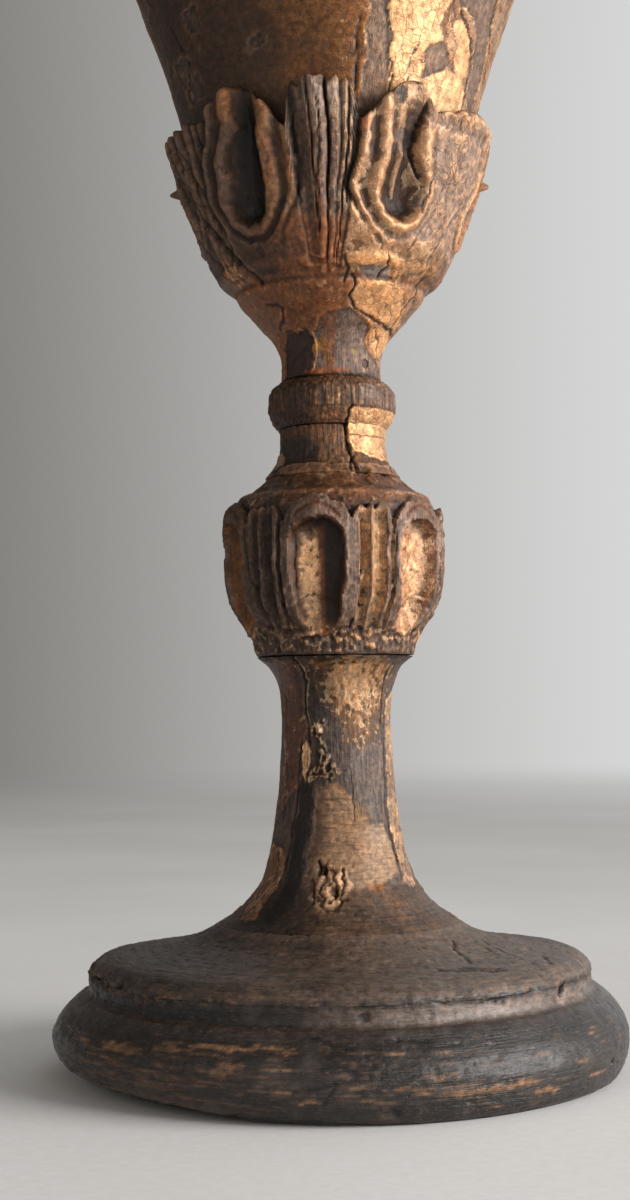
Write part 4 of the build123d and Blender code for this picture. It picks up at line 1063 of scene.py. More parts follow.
    def away(points, centre, flip=1.0):
        """Distance in mm from a closed outline of (bearing off the centre, z); negative inside. Also the sideways place."""
        q = np.array(points, float)
        qx, qy = flip * q[:, 0] * RAD * env_r(q[:, 1]), q[:, 1]
        x, y = turn(T, centre) * RAD * RZ + wx, Z + wy
        best, inside = np.full(s.shape, 1e9), np.zeros(s.shape, bool)
        for k in range(len(q)):
            ax, ay, bx, by = qx[k - 1], qy[k - 1], qx[k], qy[k]
            ex, ey = bx - ax, by - ay
            u = np.clip(((x - ax) * ex + (y - ay) * ey) / (ex * ex + ey * ey + 1e-12), 0, 1)
            best = np.minimum(best, (x - ax - ex * u) ** 2 + (y - ay - ey * u) ** 2)
            inside ^= ((ay > y) != (by > y)) & (x < ex * (y - ay) / (ey if abs(ey) > 1e-9 else 1e-9) + ax)
        d = np.sqrt(best)
        return np.where(inside, -d, d), x

    pear = [(-8.2, 196), (-7.0, 188.2), (-5.5, 184.6), (-5.0, 181.6), (-6.0, 178.4), (-7.5, 175.4), (-8.2, 173.0), (-7.6, 170.4), (-4.6, 167.8), (0.4, 166.5),
            (5.6, 166.1), (10.2, 167.1), (12.8, 168.9), (13.6, 171.2), (12.4, 173.6), (10.6, 176.0), (8.6, 178.4), (8.0, 181.0), (8.3, 184.0), (8.8, 187.2),
            (9.6, 196)]
    drop = [(-3.5, 196), (-2.6, 188.2), (-1.2, 185.2), (-5.5, 182.4), (-8.4, 178.6), (-9.6, 175.2), (-11.6, 171.6), (-9.4, 168.2), (-4.4, 166.6),
            (2.2, 166.4), (7.4, 168.2), (9.0, 170.8), (9.6, 173.8), (9.7, 177.4), (9.2, 181.0), (9.4, 188.4), (9.8, 196)]
    hx = [-6, -4.6, -3.4, -2.3, -1.3, -0.6, -0.1, 0.5, 1.2, 1.8, 2.5, 3.2, 4.0, 4.7, 5.4, 6.0, 6.6, 7.4, 8.8]
    hh = [-4.1, -3.9, -3.6, -2.9, -1.8, -0.75, 0.0, 0.34, 0.30, 0.02, -0.65, -0.95, -0.65, 0.02, 0.05, -0.45, -1.15, -0.7, 0.0]
    relief_l = np.zeros(s.shape)
    near_l = np.full(s.shape, 99.0)
    tongue_in = np.zeros(s.shape)
    for centre, points, flip, lean in ((-34, drop, 1, -1), (28, pear, 1, 1), (88, pear, -1, 1), (148, pear, -1, 0), (208, drop, -1, 1), (268, pear, 1, 1)):
        ds, x = away(points, centre, flip)
        squeeze = 1 + 0.62 * step(Z, 173.0, 166.0)
        ds = np.where(ds > 0, ds * squeeze, ds)
        h = np.interp(ds, hx, hh)
        # the head of the hollow is shallower, and a tongue runs down it from the tip
        head = step(Z, 184.5, 190.5)
        h = np.where(ds < 0, h * (1 - 0.62 * head), h)
        x0 = flip * np.interp(Z, [166, 171.6, 175.8, 181.2, 186.6, 192], np.array([1.8, 1.0, -0.5, -1.5, -2.0, -1.0]) * RAD * 31)
        if lean < 0:
            x0 = flip * np.interp(Z, [166, 172, 178, 182, 186, 190, 194], np.array([-6, -6, -7, -5.5, -3.6, -3.0, -3]) * RAD * 31)
        tw = np.interp(Z, [170, 171.6, 175.8, 181.2, 186.6, 192], [0.3, 0.75, 1.15, 1.75, 3.0, 4.2]) * (0.8 if lean < 0 else 1)
        th = np.interp(Z, [170, 172, 175.8, 179.2, 181.2, 186.6, 191], [-4.0, -3.1, -2.2, -1.3, -1.45, -0.75, -0.5]) - (0.3 if lean < 0 else 0)
        over = np.exp(-(((x - x0) / tw) ** 2) * 0.9)
        raised = lerp(h, np.maximum(h, th), over)
        h = np.where(ds < 0.0, raised, h)
        if lean == 1:
            spur = np.exp(-(((x - x0) / 1.0) ** 2)) * np.exp(-(((Z - 179.6) / 1.3) ** 2))
            h = h + (3.4 if centre in (88, 268) else 0.8) * spur
        if lean >= 0:
            # dark overhung fold on one side of the tongue
            fx = flip * np.interp(Z, [170, 174.4, 177, 179.8, 182.4, 187.8, 192], np.array([12, 10.6, 7.0, 4.6, 5.0, 7.6, 8.6]) * RAD * 31)
            h = h - 0.8 * np.exp(-(((x - fx) / 0.36) ** 2)) * step(Z, 172.5, 174.5) * (1 - step(Z, 188.5, 191)) * (ds < 0.6)
            h = h + 0.5 * np.exp(-(((x - fx - 0.9 * flip) / 0.5) ** 2)) * step(Z, 174, 176) * (1 - step(Z, 184, 187)) * (ds < 0.6)
        mine = ds < near_l
        relief_l = np.where(mine, h, relief_l)
        near_l = np.minimum(near_l, ds)
        tongue_in = np.maximum(tongue_in, over * (ds < 0))
    ds = near_l
    lobes = relief_l
    part = 0.6 * np.exp(-(((ds - 6.5) / 0.9) ** 2)) * step(Z, 163.5, 170.0)

    # bundle: upright ridges that draw together downwards
    draw = np.interp(Z, [157, 163, 172, 188], [0.50, 0.60, 0.78, 1.0])
    bx = B / draw
    which_b = np.floor((turn(T, LOBE_AT + 30.0) + 390.0) / 60.0).astype(int) % 6
    bx = bx * np.where(np.isin(which_b, (1, 4)), -1.0, 1.0) * (1 + 0.06 * np.sin(which_b * 2.1))
    rx = [-14.6, -13.0, -12.0, -9.5, -6.6, -5.6, -4.9, -4.2, -2.4, -0.4, 0.9, 1.7, 2.6, 4.0, 5.6, 6.6, 7.4, 8.6, 9.5, 10.4, 12.4, 13.6, 14.8]
    rh = [-1.5, -0.55, -0.75, -1.05, -0.70, 0.10, -0.90, 0.20, 0.65, 0.45, 0.10, -1.7, 0.15, 0.30, 0.35, -0.60, -0.15, 0.10, -1.3, -0.40, -0.55, -1.0, -1.5]
    ridges = np.interp(bx, rx, rh)
    in_b = 1 - step(np.abs(bx), 13.2, 15.5)
    smoothed = turnside(T, 58, 26) * (1 - step(np.abs(turn(T, 58)), 9, 16))
    long_fade = step(Z, 157.4, 161.5)
    bundle_h = ridges * in_b * (0.55 + 0.45 * step(Z, 166, 178)) * (1 - 0.72 * smoothed)
    inside_lobe = 1 - step(ds, 5.3, 6.4)
    relief = lobes * inside_lobe * fade + (bundle_h - 1.3 * part) * (1 - inside_lobe) * long_fade
    relief *= 1.0 - 0.45 * smoothed
    # the worn leaf on the right is one smooth face with a thick rolled top
    face = turnside(T, 62, 46) * (ds > 2.2)
    relief = lerp(relief, -0.25 + 0.25 * n2 + 0.6 * np.exp(-(((Z - 188.6) / 1.3) ** 2)) - 0.5 * np.exp(-(((Z - 185.8) / 0.9) ** 2)) * (0.5 + 0.5 * n4), face * 0.85)
    # tips roll outwards a little, and thin down at the very edge
    near_top = np.zeros(s.shape)
    near_top[-rows_leaf:] = np.clip(1 - (top[None, :] - Zl) / 3.2, 0, 1)
    relief += 0.35 * near_top**2 * (top[None, :] > 186.5)
    relief -= 0.45 * near_top**6
    s.D += relief * out
    # long gouges on the left, painted dark inside with soot and painted shade; torn wood at the foot of the bundles
    for pts, w, dpt in (([(-76, 180), (-70, 174), (-61, 167), (-53, 161.5), (-46, 157.6)], 0.95, 1.5),
                        ([(-84, 184), (-78, 176), (-72, 169)], 0.6, 0.9), ([(-66, 184), (-60, 178), (-56, 171), (-52, 164)], 0.6, 0.9),
                        ([(-74, 186), (-67, 180), (-63, 172), (-56, 165)], 0.5, 0.8), ([(-88, 176), (-80, 168), (-66, 160)], 0.5, 0.7),
                        ([(52, 178), (48, 169), (40, 162)], 0.3, 0.35), ([(66, 172), (60, 166), (57, 161)], 0.3, 0.4)):
        crack(s, pts, w, dpt, 0.7, SOOT_AND_SHADE, 0.85)
    torn = in_b * np.exp(-(((Z - 159.2) / 1.9) ** 2)) * out * (np.abs(turn(T, 58)) > 24)
    s.D += torn * (0.30 * noise(P, (1.4, 1.4, 2.8), 530) + 0.22 * n4)
    ledge = np.exp(-(((Z - 157.0) / 0.55) ** 2)) * out
    s.D -= 0.34 * ledge * (0.8 + 0.5 * n2)
    s.D += 0.45 * np.exp(-(((Z - 159.7) / 1.0) ** 2)) * out * (1 - 0.6 * step(np.abs(turn(T, -3)), 10, 4))
    s.D += out * (0.12 * n2 + 0.05 * n4) + out * (1 - fade) * 0.10 * n1
    bare = step(noise(P, (3.6, 3.6, 9.0), 515) + 0.4 * n2, -0.1, 0.3) * step(Z, 160, 166)
    s.D += out * 0.06 * up * bare

    # coat of gesso and leaf, and where it has come away
    coat = 1.5 * noise(P, (4.5, 4.5, 6.0), 516) + 0.6 * n2 + 0.9
    bulb_grey = s.poly([(-16, 147.8), (-9, 149.8), (2, 151.5), (15, 151.3), (30, 150.0), (38, 148.6), (40, 146.0), (50, 144.2), (78, 141.6),
                        (88, 138.0), (-2, 137.7), (-24, 138.5), (-15, 144.2)], 0.7)
    flake_l = s.poly([(15, 158.9), (24, 159.5), (31, 160.0), (38, 158.4), (39, 156.8), (29, 156.2), (20, 157.1)], 0.7)
    dark_b = s.poly([(-42, 148.2), (-18, 148.6), (-20, 144.2), (-25, 138.9), (-65, 138.9), (-64, 145.4)], 1.0)
    back_off = (0.9 * noise(P, (7, 7, 6), 517) + 0.5 * n2 - 0.35) * step(np.abs(T), 75, 100) * 3
    coat = np.where(Z < 158, 1.0 + 0.2 * n2, coat)
    coat = lerp(coat, 0.9 + 0.3 * n2, np.clip(face * 1.4, 0, 1) * step(Z, 160, 163))
    coat = np.minimum.reduce([coat, -bulb_grey, -flake_l, np.where(dark_b > -0.5, -dark_b + 0.8 * n2, 9.0), -back_off + 0.6])
    up_coat = layer(s, np.where(out > 0, coat, -3.0), 0.26, 0.09) * out
    s.D -= 0.2 * out

    # paint
    s.paint[:] = lin(110, 78, 52)
    s.over(lin(134, 98, 66), out * step(n2, -0.1, 0.8) * 0.6)
    s.over(lin(84, 56, 40), out * step(-n1, 0.0, 0.8) * 0.6)
    low = out * (1 - step(Z, 156.5, 158.5))
    s.over(lin(132, 86, 50), low * 0.75)
    # round the bulb: painted shade on the left, painted light on the right and a pale painted sheen at the far right
    s.over(lin(104, 66, 40), low * turnside(T, -30, 50) * 0.7)
    s.over(lin(166, 118, 74), low * turnside(T, 48, 40) * 0.7)
    s.over(lin(126, 102, 84), low * turnside(T, 84, 34) * 0.6)
    mid = out * step(Z, 157.5, 159.5) * (1 - step(Z, 165, 170))
    # painted shade to the left and painted light to the right, at the foot of the leaves
    s.over(lin(108, 68, 44), mid * turnside(T, -14, 46) * 0.75)
    s.over(lin(150, 108, 62), mid * turnside(T, 38, 40) * 0.7)
    leafz = out * step(Z, 165, 171)
    s.over(lin(116, 98, 86), leafz * (1 - step(coat, -0.2, 0.3)) * 0.85)
    s.over(lin(104, 88, 78), leafz * in_b * turnside(T, -4, 26) * (0.7 + 0.2 * up))
    s.over(lin(62, 48, 40), leafz * in_b * turnside(T, -4, 26) * step(-up + 0.4 * n2, 0.2, 1.0) * 0.8)
    s.over(lin(150, 96, 54), leafz * np.exp(-((bx + 3.4) ** 2) / 1.6) * turnside(T, -4, 20) * (1 - step(Z, 168, 180)) * 0.8)
    s.over(lin(150, 132, 120), leafz * in_b * turnside(T, 4, 18) * step(Z, 180, 188) * 0.5)
    # painted shade over the left side round the ledge
    s.over(lin(44, 34, 28), out * turnside(T, -64, 62) * step(Z, 156, 162) * (0.72 + 0.15 * n2))
    # grey painted sheen on the small crests on the left
    s.over(lin(92, 74, 64), out * turnside(T, -62, 40) * step(Z, 160, 166) * step(s.D - blur(s.D, 3, 4), 0.05, 0.4) * 0.7)
    s.over(lin(132, 92, 60), turnside(T, -38, 7) * step(Z, 184.5, 188.5) * out * 0.7)
    s.over(lin(128, 90, 60), np.exp(-(((T + 24.0) / 2.0) ** 2)) * out * step(Z, 170, 174) * (1 - step(Z, 182, 185)) * 0.6)
    s.over(lin(146, 76, 40), np.exp(-(((T - 12.6) / 1.6) ** 2)) * out * step(Z, 182.0, 183.6) * (1 - step(Z, 187.5, 189)) * 0.8)
    s.over(lin(118, 82, 58), out * np.clip(near_top, 0, 1) ** 3 * (0.35 + 0.4 * n4) * (1 - 0.7 * turnside(T, -68, 50)))
    s.over(lin(70, 54, 46), out * turnside(T, 62, 24) * step(Z, 186.2, 188.4) * (0.6 + 0.3 * n2))
    # painted shade deep in the hollow of the left lobe, beside its tongue
    s.over(lin(22, 17, 14), (ds < -0.9) * turnside(T, -31, 13) * (1 - tongue_in) * 0.85)
    s.over(lin(158, 126, 96), out * turnside(T, 62, 26) * step(Z, 160, 168) * 0.9)
    s.over(lin(168, 120, 74), out * turnside(T, 62, 26) * step(Z, 160, 168) * step(n2, 0.1, 0.7) * 0.6)
    s.over(lin(112, 98, 90), step(bulb_grey, -0.2, 0.3) * (0.85 + 0.1 * up))
    s.over(lin(76, 60, 52), step(bulb_grey, -0.2, 0.3) * step(-up, 0.2, 1.0) * 0.6)
    s.over(lin(40, 31, 26), step(dark_b, -0.3, 0.5) * 0.9)
    s.over(lin(128, 116, 112), step(flake_l, -0.1, 0.3) * 0.9)
    s.over(lin(150, 108, 50), step(s.poly([(-20, 146.1), (-9, 146.9), (4, 145.6), (-1, 143.7), (3, 142.0), (-7, 141.5), (-10, 143.7), (-20, 144.0)], 0.6), -0.15, 0.2) * 0.85)
    s.over(lin(160, 130, 86), step(s.poly([(24, 144.9), (31, 145.1), (33, 142.4), (27, 142.0)], 0.5), -0.1, 0.2) * 0.6)
    s.over(lin(158, 92, 42), step(s.poly([(-34, 140.3), (-13, 140.9), (24, 140.6), (22, 139.5), (-28, 139.2)], 0.5), -0.1, 0.25) * 0.8)
    s.over(lin(34, 26, 22), step(s.poly([(-41, 159.6), (-35, 160.4), (-27, 159.2), (-29, 158.6), (-38, 157.5), (-45, 157.3)], 1.6), -0.9, 0.9) * 0.8)
    s.over(lin(116, 80, 54), torn * 0.7)
    s.over(lin(170, 130, 98), torn * step(s.D - blur(s.D, 2, 2), 0.05, 0.2) * 0.8)

    # leaf kept on the rims and on the lit right side, where it also serves as painted light
    rise = s.D - blur(s.D, 4, 5)
    lit = np.maximum(turnside(T, 34, 44), 0.55 * step(np.abs(T), 95, 125))
    leaf = -1.0 + lit * (1.35 + 0.9 * n2 + 0.5 * n4 + 1.2 * np.clip(rise, -0.4, 0.5))
    g1 = s.poly([(8, 160.6), (16, 161.4), (24, 161.8), (30, 161.6), (37, 160.2), (45, 157.9), (38, 157.2), (32, 159.1), (26, 158.9), (19, 159.1),
                 (10, 159.3)], 0.6)
    g2 = s.poly([(15, 155.7), (15, 153.0), (19, 151.6), (29, 150.9), (39, 150.5), (56, 149.6), (80, 149.1), (62, 153.3), (48, 156.5), (30, 156.7)], 0.5)
    g3 = s.poly([(38, 149.6), (50, 148.8), (70, 148.6), (92, 147.8), (86, 143.4), (62, 143.9), (48, 145.6)], 0.5)
    leaf = np.where(Z < 158, -0.9 + 0.8 * n4 + 0.5 * n2 + 0.5 * turnside(T, 40, 60), leaf)
    leaf = np.where(coat < 0, -1, leaf)
    calm = np.clip(face * 1.3, 0, 1) * step(Z, 161, 165) * (1 - step(Z, 186.0, 188.0)) * (out > 0)
    leaf = lerp(leaf, np.minimum(leaf, 0.1) * 0.3 - 0.42 + 0.5 * n2, calm * 0.9)
    for k, (gg, base) in enumerate(((g1, 0.55), (g2, 0.30), (g3, 0.35))):
        leaf = np.maximum(leaf, np.where(gg > -0.2, np.minimum(gg * 3, base) + 0.35 * n4, -1))
        s.over(lin(196, 148, 92), step(gg, -0.1, 0.25) * 0.85)
    s.gold = np.clip(np.where(out > 0, leaf, -1), -1, 1)
    s.speck = 0.55 * np.ones(s.shape)

    for pts, w, dpt in (([(12, 157.4), (15, 155.4), (12.5, 153.6), (17, 151.6), (30, 150.5), (41, 149.9), (64, 149.0), (86, 148.7)], 0.19, 0.42),
                        ([(-41, 153.0), (-36, 152.5), (-42, 150.2), (-53, 148.8)], 0.2, 0.3), ([(-50, 153.4), (-41, 153.0)], 0.18, 0.25),
                        ([(64, 158.4), (68, 155.6), (63, 152.6), (70, 149)], 0.2, 0.4), ([(47, 148.4), (60, 146.4), (66, 143.4)], 0.16, 0.3),
                        ([(7, 160.5), (10, 158.4), (8, 156)], 0.2, 0.35), ([(30, 161), (31.5, 159), (29.5, 157)], 0.2, 0.4),
                        ([(56, 181), (53, 174), (58, 168)], 0.16, 0.25), ([(72, 186), (69, 178), (74, 170)], 0.18, 0.3),
                        ([(-12, 186), (-13, 178), (-11.5, 170)], 0.2, 0.45), ([(-3.6, 188), (-3.2, 180), (-4.4, 173), (-4.0, 165)], 0.2, 0.5),
                        ([(9.5, 187), (9.0, 178), (7.0, 170)], 0.2, 0.5), ([(41, 184), (43, 176), (41, 169)], 0.2, 0.4),
                        ([(118, 184), (120, 172), (117, 162)], 0.25, 0.5), ([(-118, 186), (-121, 176), (-116, 164)], 0.25, 0.5),
                        ([(170, 187), (173, 176), (168, 163)], 0.22, 0.45), ([(134, 157), (137, 152), (131, 147)], 0.2, 0.35),
                        ([(-140, 157), (-144, 151), (-137, 145)], 0.2, 0.35), ([(-86, 156), (-92, 150), (-87, 144)], 0.2, 0.3)):
        crack(s, pts, w, dpt, 0.6, lin(22, 16, 13), 0.95)
    pits(s, [(44.0, 141.8, 0.95, 0.95), (-128, 152, 0.8, 0.8), (112, 166, 0.8, 0.8)])
    grey = np.maximum(step(bulb_grey, -0.3, 0.3), leafz * (1 - step(coat, -0.3, 0.3)))
    s.grain = out * np.clip(grey + 0.7 * in_b * step(Z, 166, 172) + 0.25, 0, 1)
    s.craq = out * up_coat * (0.35 + 0.5 * turnside(T, 70, 50))
    s.rough = 0.47 + 0.07 * n2 - 0.05 * turnside(T, -64, 60)
    # painted shade darker in the hollows, painted highlight lighter on the edges
    h = s.bury(1.0, 6, 7)
    h2 = s.bury(1.0, 2, 2)
    s.tone(np.clip(1.0 - 0.60 * np.clip(h, 0, 1.1) - 0.8 * np.clip(h2, 0, 0.4) + 0.55 * np.clip(-h, 0, 0.5), 0.22, 1.35))
    s.gold = np.where(h > 0.45, s.gold - 1.2 * step(h, 0.45, 0.9), s.gold)
    s.over(lin(150, 124, 106), calm * 0.85)
    s.over(lin(120, 72, 40), in_b * turnside(T, -4, 24) * (1 - step(Z, 162 + 2 * n2, 169 + 2 * n2)) * 0.6)
    s.over(lin(122, 86, 48), turnside(T, 8, 7) * out * (1 - in_b) * step(Z, 158, 162) * (1 - step(Z, 170, 176)) * (h < 0.3) * 0.5)
    s.over(lin(190, 160, 132), turnside(T, 27, 17) * (np.abs(ds - 0.8) < 1.0) * step(Z, 162, 165) * out * step(n4, -0.5, 0.2) * 0.45)
    s.gold = np.clip(s.gold, -1, 1)

    s.settle(1.04, 1.0)
    # over the tips, down behind them to the cup, and down the seat to the tenon's socket
    r_top, z_top = (s.R + s.NR * s.D)[-1], (s.Z + s.NZ * s.D)[-1]
    cup = dense([(r, z) for r, z in BOWL_OUT])
    back_z = np.minimum(z_top - 1.9, 188.2)
    r_cup_top = np.interp(z_top, cup[:, 1], cup[:, 0])
    r_cup = np.interp(back_z, cup[:, 1], cup[:, 0]) + 0.08
    thick = np.clip((r_top - r_cup_top) * 0.55, 0.7, 1.7)
    ex_r = [r_top - 0.22 * thick, r_top - 0.55 * thick, r_top - 0.85 * thick, r_top - 1.0 * thick]
    ex_z = [z_top + 0.22, z_top + 0.28, z_top + 0.12, z_top - 0.25]
    ex_r += [lerp(ex_r[3], r_cup, k) for k in (0.3, 0.62, 0.86)] + [r_cup]
    ex_z += [lerp(ex_z[3], back_z, k) for k in (0.45, 0.8, 0.97)] + [back_z]
    for k in (0.12, 0.3, 0.5, 0.7, 0.88):
        z = lerp(back_z, 162.1, k)
        ex_z.append(z)
        ex_r.append(np.interp(z, cup[:, 1], cup[:, 0]) + 0.06)
    for r, z in ((8.55, 162.1), (7.05, 162.1), (7.05, 158.2), (7.05, 154.25), (3.5, 154.25), (0.0, 154.25)):
        ex_r.append(np.full(n, r))
        ex_z.append(np.full(n, z))
    er, ez = np.array(ex_r), np.array(ex_z)
    k = len(er)
    s.R = np.vstack([s.R + s.NR * s.D, er])
    s.Z = np.vstack([s.Z + s.NZ * s.D, ez])
    s.TT = np.repeat(t[None, :], len(s.R), 0)
    s.row_tag = np.concatenate([s.row_tag, ["in"] * k])
    s.shape = s.R.shape
    grow = lambda x, val: np.vstack([x, np.full((k,) + x.shape[1:], val)])
    s.D = np.zeros(s.shape)
    s.NR, s.NZ = np.zeros(s.shape), np.zeros(s.shape)
    s.paint = np.concatenate([s.paint, np.repeat(s.paint[-1:], k, 0)])
    # the back of the tips fades to dark brown down towards the cup: painted shade in the gap behind the tips
    edge_t = np.clip(np.arange(k) / 7.0, 0, 1)[:, None, None]
    s.paint[-k:] = s.paint[-k:] * (1 - edge_t) + lin(58, 42, 32) * edge_t
    s.gold, s.craq, s.grain = grow(s.gold, -1.0), grow(s.craq, 0.0), grow(s.grain, 0.4)
    s.turned, s.rough, s.speck, s.dark = grow(s.turned, 0.0), grow(s.rough, 0.55), grow(s.speck, 0.5), grow(s.dark, 0.0)
    rm = 26.0
    s.C = np.stack([rm * np.sin(s.TT * RAD), -rm * np.cos(s.TT * RAD),
                    np.vstack([s.S, s.S[-1:] + np.arange(1, k + 1)[:, None]])], -1)
    return s.mesh(material, "chalice", ["calyx"], 48, vivid=None)


# ------------------------------------------------------------------------------------------
# bowl
# ------------------------------------------------------------------------------------------
BOWL_IN = [(43.4, 238.2), (40.6, 230.6), (38.0, 223.5), (35.3, 216.0), (32.6, 208.0), (30.1, 200.0), (27.6, 191.0), (24.6, 182.5),
           (20.6, 175.5), (15.4, 170.6), (9.0, 168.2), (0.0, 167.6)]


def make_bowl(material):
    s = Skin("bowl_turned", 460)
    s.add("in", [(0.0, 154.6), (7.0, 154.6), (7.0, 162.05), (8.55, 162.05)], 3.0, False)
    s.add("in", BOWL_OUT[:5], 2.2)
    s.add("out", BOWL_OUT[4:], 0.42)
    s.add("lip", [(46.2, 238.15), (45.6, 238.2), (43.4, 238.2)], 0.7, False)
    s.add("bore", BOWL_IN, 1.1)
    s.close(False)
    P, C, T, Z, out = s.P, s.C, s.TT, s.Z, s.shown
    n1, n2, n4 = fbm(P, 14, 3, 541), fbm(P, 4.5, 3, 542), fbm(P, 1.5, 3, 547)
    up = noise(P, (0.9, 0.9, 13), 601) + 0.6 * noise(P, (0.45, 0.45, 8), 602)
    lvl = noise(C, (12, 12, 0.7), 603) + 0.5 * noise(C, (6, 6, 0.38), 604)
    high = step(Z, 188.5, 192.5) * out

    gold_a = s.poly([(21, 207.1), (20, 205.0), (21.6, 201.9), (22, 198.3), (23, 194.2), (23, 186), (37, 186), (36.5, 194.2), (36, 196.2), (34, 197.8),
                     (37, 199.4), (42, 202.6), (40.5, 204.5), (42, 208), (46, 213), (40, 218.4), (33, 224), (20, 226), (10, 223), (13, 216.5),
                     (21, 212)], 0.9)
    gold_b = s.poly([(38, 194.4), (42, 195.9), (50, 197.3), (54, 196.6), (57, 197.6), (64, 194.4), (62, 188), (38, 188)], 0.6)
    gold_c = s.poly([(45, 205.7), (50, 207.1), (55, 205.7), (59, 202.6), (60.5, 197.4), (54, 196.9), (50, 199.5), (51, 202.4)], 0.5)
    bare_1 = s.poly([(11, 209), (14, 206), (14.5, 205), (13, 201.4), (15, 198.1), (12.5, 193.9), (12, 184), (22.6, 184), (22.6, 193.9), (21.6, 198.3),
                     (21.4, 201.9), (19.6, 205), (19.6, 208)], 0.6)
    bare_2 = s.poly([(36, 199.2), (38, 201.2), (44, 202.1), (46.5, 200.7), (49.5, 198.1), (42, 195.9), (37.2, 194.4), (36.8, 196.8)], 0.5)
    bare_3 = s.poly([(47, 209.5), (57, 207), (62, 203), (64, 197.5), (66, 192), (73, 192), (76, 199), (73, 206), (68, 213), (60, 221), (50, 221)], 1.2)
    isle = fbm(P, (11, 11, 12), 3, 611)
    backside = step(np.abs(T), 72, 100)
    bare_back = (isle * 3.4 - 1.1) * backside - 3 * (1 - backside)
    bare_l = (fbm(P, (9, 9, 10), 3, 612) * 2.6 - 1.4) * turnside(T, -68, 90) - 3 * (1 - turnside(T, -68, 90))
    bare = np.maximum.reduce([bare_1, bare_2, bare_3 - 0.6, bare_back, bare_l])
    coat = np.where(out > 0, -bare, -3.0)
    up_coat = layer(s, np.where(out > 0, np.clip(coat, -3, 3), -3.0), 0.22, 0.08) * high
    s.D *= high
    s.D += high * (-0.30 + 0.10 * n2 + 0.16 * n1) + high * up_coat * 0.03 * lvl + high * (1 - up_coat) * 0.05 * up
    # old dents
    for t, z, a, b, dpt in ((4, 212, 3.0, 1.6, 0.3), (-48, 214, 3.0, 2.2, 0.5), (66, 222, 3.2, 1.8, 0.4),
                            (110, 210, 3.4, 2.2, 0.5), (-120, 219, 3.2, 2.6, 0.5), (168, 205, 2.8, 2.0, 0.4), (-2, 228, 3.4, 1.6, 0.4)):
        f = s.blob(t, z, a, b, 0.8)
        s.D -= dpt * step(f, -1.3, 1.0 * min(a, b)) * high
    # two low turned lines under the rim, and the rim worn down in places
    for z0, dpt in ((229.4, 0.32), (231.2, 0.32)):
        s.D -= dpt * np.exp(-(((Z - z0) / 0.4) ** 2)) * out
    rim_w = step(Z, 236.0, 238.1) * out
    s.D -= rim_w * (0.12 + 0.35 * np.clip(noise(P, 5.0, 615) + 0.4 * n4, 0, 1))

    # paint
    s.paint[:] = lin(126, 82, 36)
    s.over(lin(76, 50, 30), out * step(-n1 + 0.5 * lvl, 0.0, 0.8) * 0.6)
    s.over(lin(132, 90, 46), out * step(n2 + 0.8 * lvl, 0.1, 1.0) * 0.5)
    s.over(lin(54, 36, 24), out * step(noise(C, (8, 8, 0.42), 621) + 0.5 * noise(C, (3, 3, 0.3), 622), 0.35, 0.85) * 0.55)
    # painted shade over the left side
    s.over(lin(40, 30, 24), out * turnside(T, -78, 100) * (0.88 + 0.1 * n2))
    s.over(lin(66, 46, 32), out * np.exp(-(((T + 36) / 13) ** 2)) * (0.45 + 0.4 * n2))
    s.over(lin(70, 50, 34), out * np.exp(-(((T + 3) / 5.5) ** 2)) * (0.30 + 0.25 * lvl))
    s.over(lin(120, 82, 42), backside * out * 0.75)
    s.over(lin(78, 56, 38), backside * out * step(n1 + 0.3 * n2, 0.0, 0.8) * 0.7)
    b_in = out * (1 - step(coat, -0.2, 0.3))
    s.over(lin(150, 124, 104), b_in * 0.9)
    s.over(lin(96, 72, 56), b_in * step(-up + 0.4 * n2, 0.1, 1.0) * 0.65)
    # bare wood on the left darker: painted shade
    s.over(lin(44, 34, 28), b_in * turnside(T, -72, 100) * 0.75)
    s.over(lin(108, 86, 72), step(bare_3, -0.3, 0.5) * 0.7)
    for gg in (gold_a, gold_b, gold_c):
        s.over(lin(204, 166, 122), step(gg, -0.15, 0.25) * 0.9)
    s.over(lin(150, 84, 40), step(gold_a, -0.4, 0.0) * (1 - step(gold_a, 0.1, 0.5)) * step(n4, -0.1, 0.5) * 0.6)
    edge = np.abs(coat) < 0.35
    # pale lifted edges of the coat on the right only: painted light
    s.over(lin(196, 168, 128), edge * step(coat, -0.1, 0.2) * step(n4 + 0.3 * n2, -0.1, 0.4) * turnside(T, 42, 66) * out * 0.75)
    s.over(lin(36, 27, 22), edge * step(-coat, 0.0, 0.25) * out * 0.6)
    base_shadow = 1 - step(Z, 188.6, 191.5)
    s.over(lin(34, 25, 20), base_shadow * out * 0.55)

    leaf = 0.10 + 0.5 * n2 + 0.35 * n4 + 0.16 * lvl
    leaf = leaf - 1.5 * turnside(T, -75, 92) - 0.55 * turnside(T, -6, 60)
    leaf = np.where(backside > 0.5, 0.25 * n2 + 0.5 * n4 + 0.35 * n1 + 0.15 * lvl - 0.05, leaf)
    leaf = np.where(coat < 0.02, -1.0, leaf)
    for gg in (gold_a, gold_b, gold_c):
        leaf = np.maximum(leaf, np.where(gg > -0.2, np.minimum(gg * 3, 0.62) + 0.28 * n4, -1))
    leaf = leaf - 1.6 * (np.exp(-(((Z - 229.4) / 0.4) ** 2)) + np.exp(-(((Z - 231.2) / 0.4) ** 2)))
    s.gold = np.clip(np.where(out > 0, leaf, -1), -1, 1)
    s.speck = 0.9 - 0.35 * step(gold_a, -0.2, 0.3)

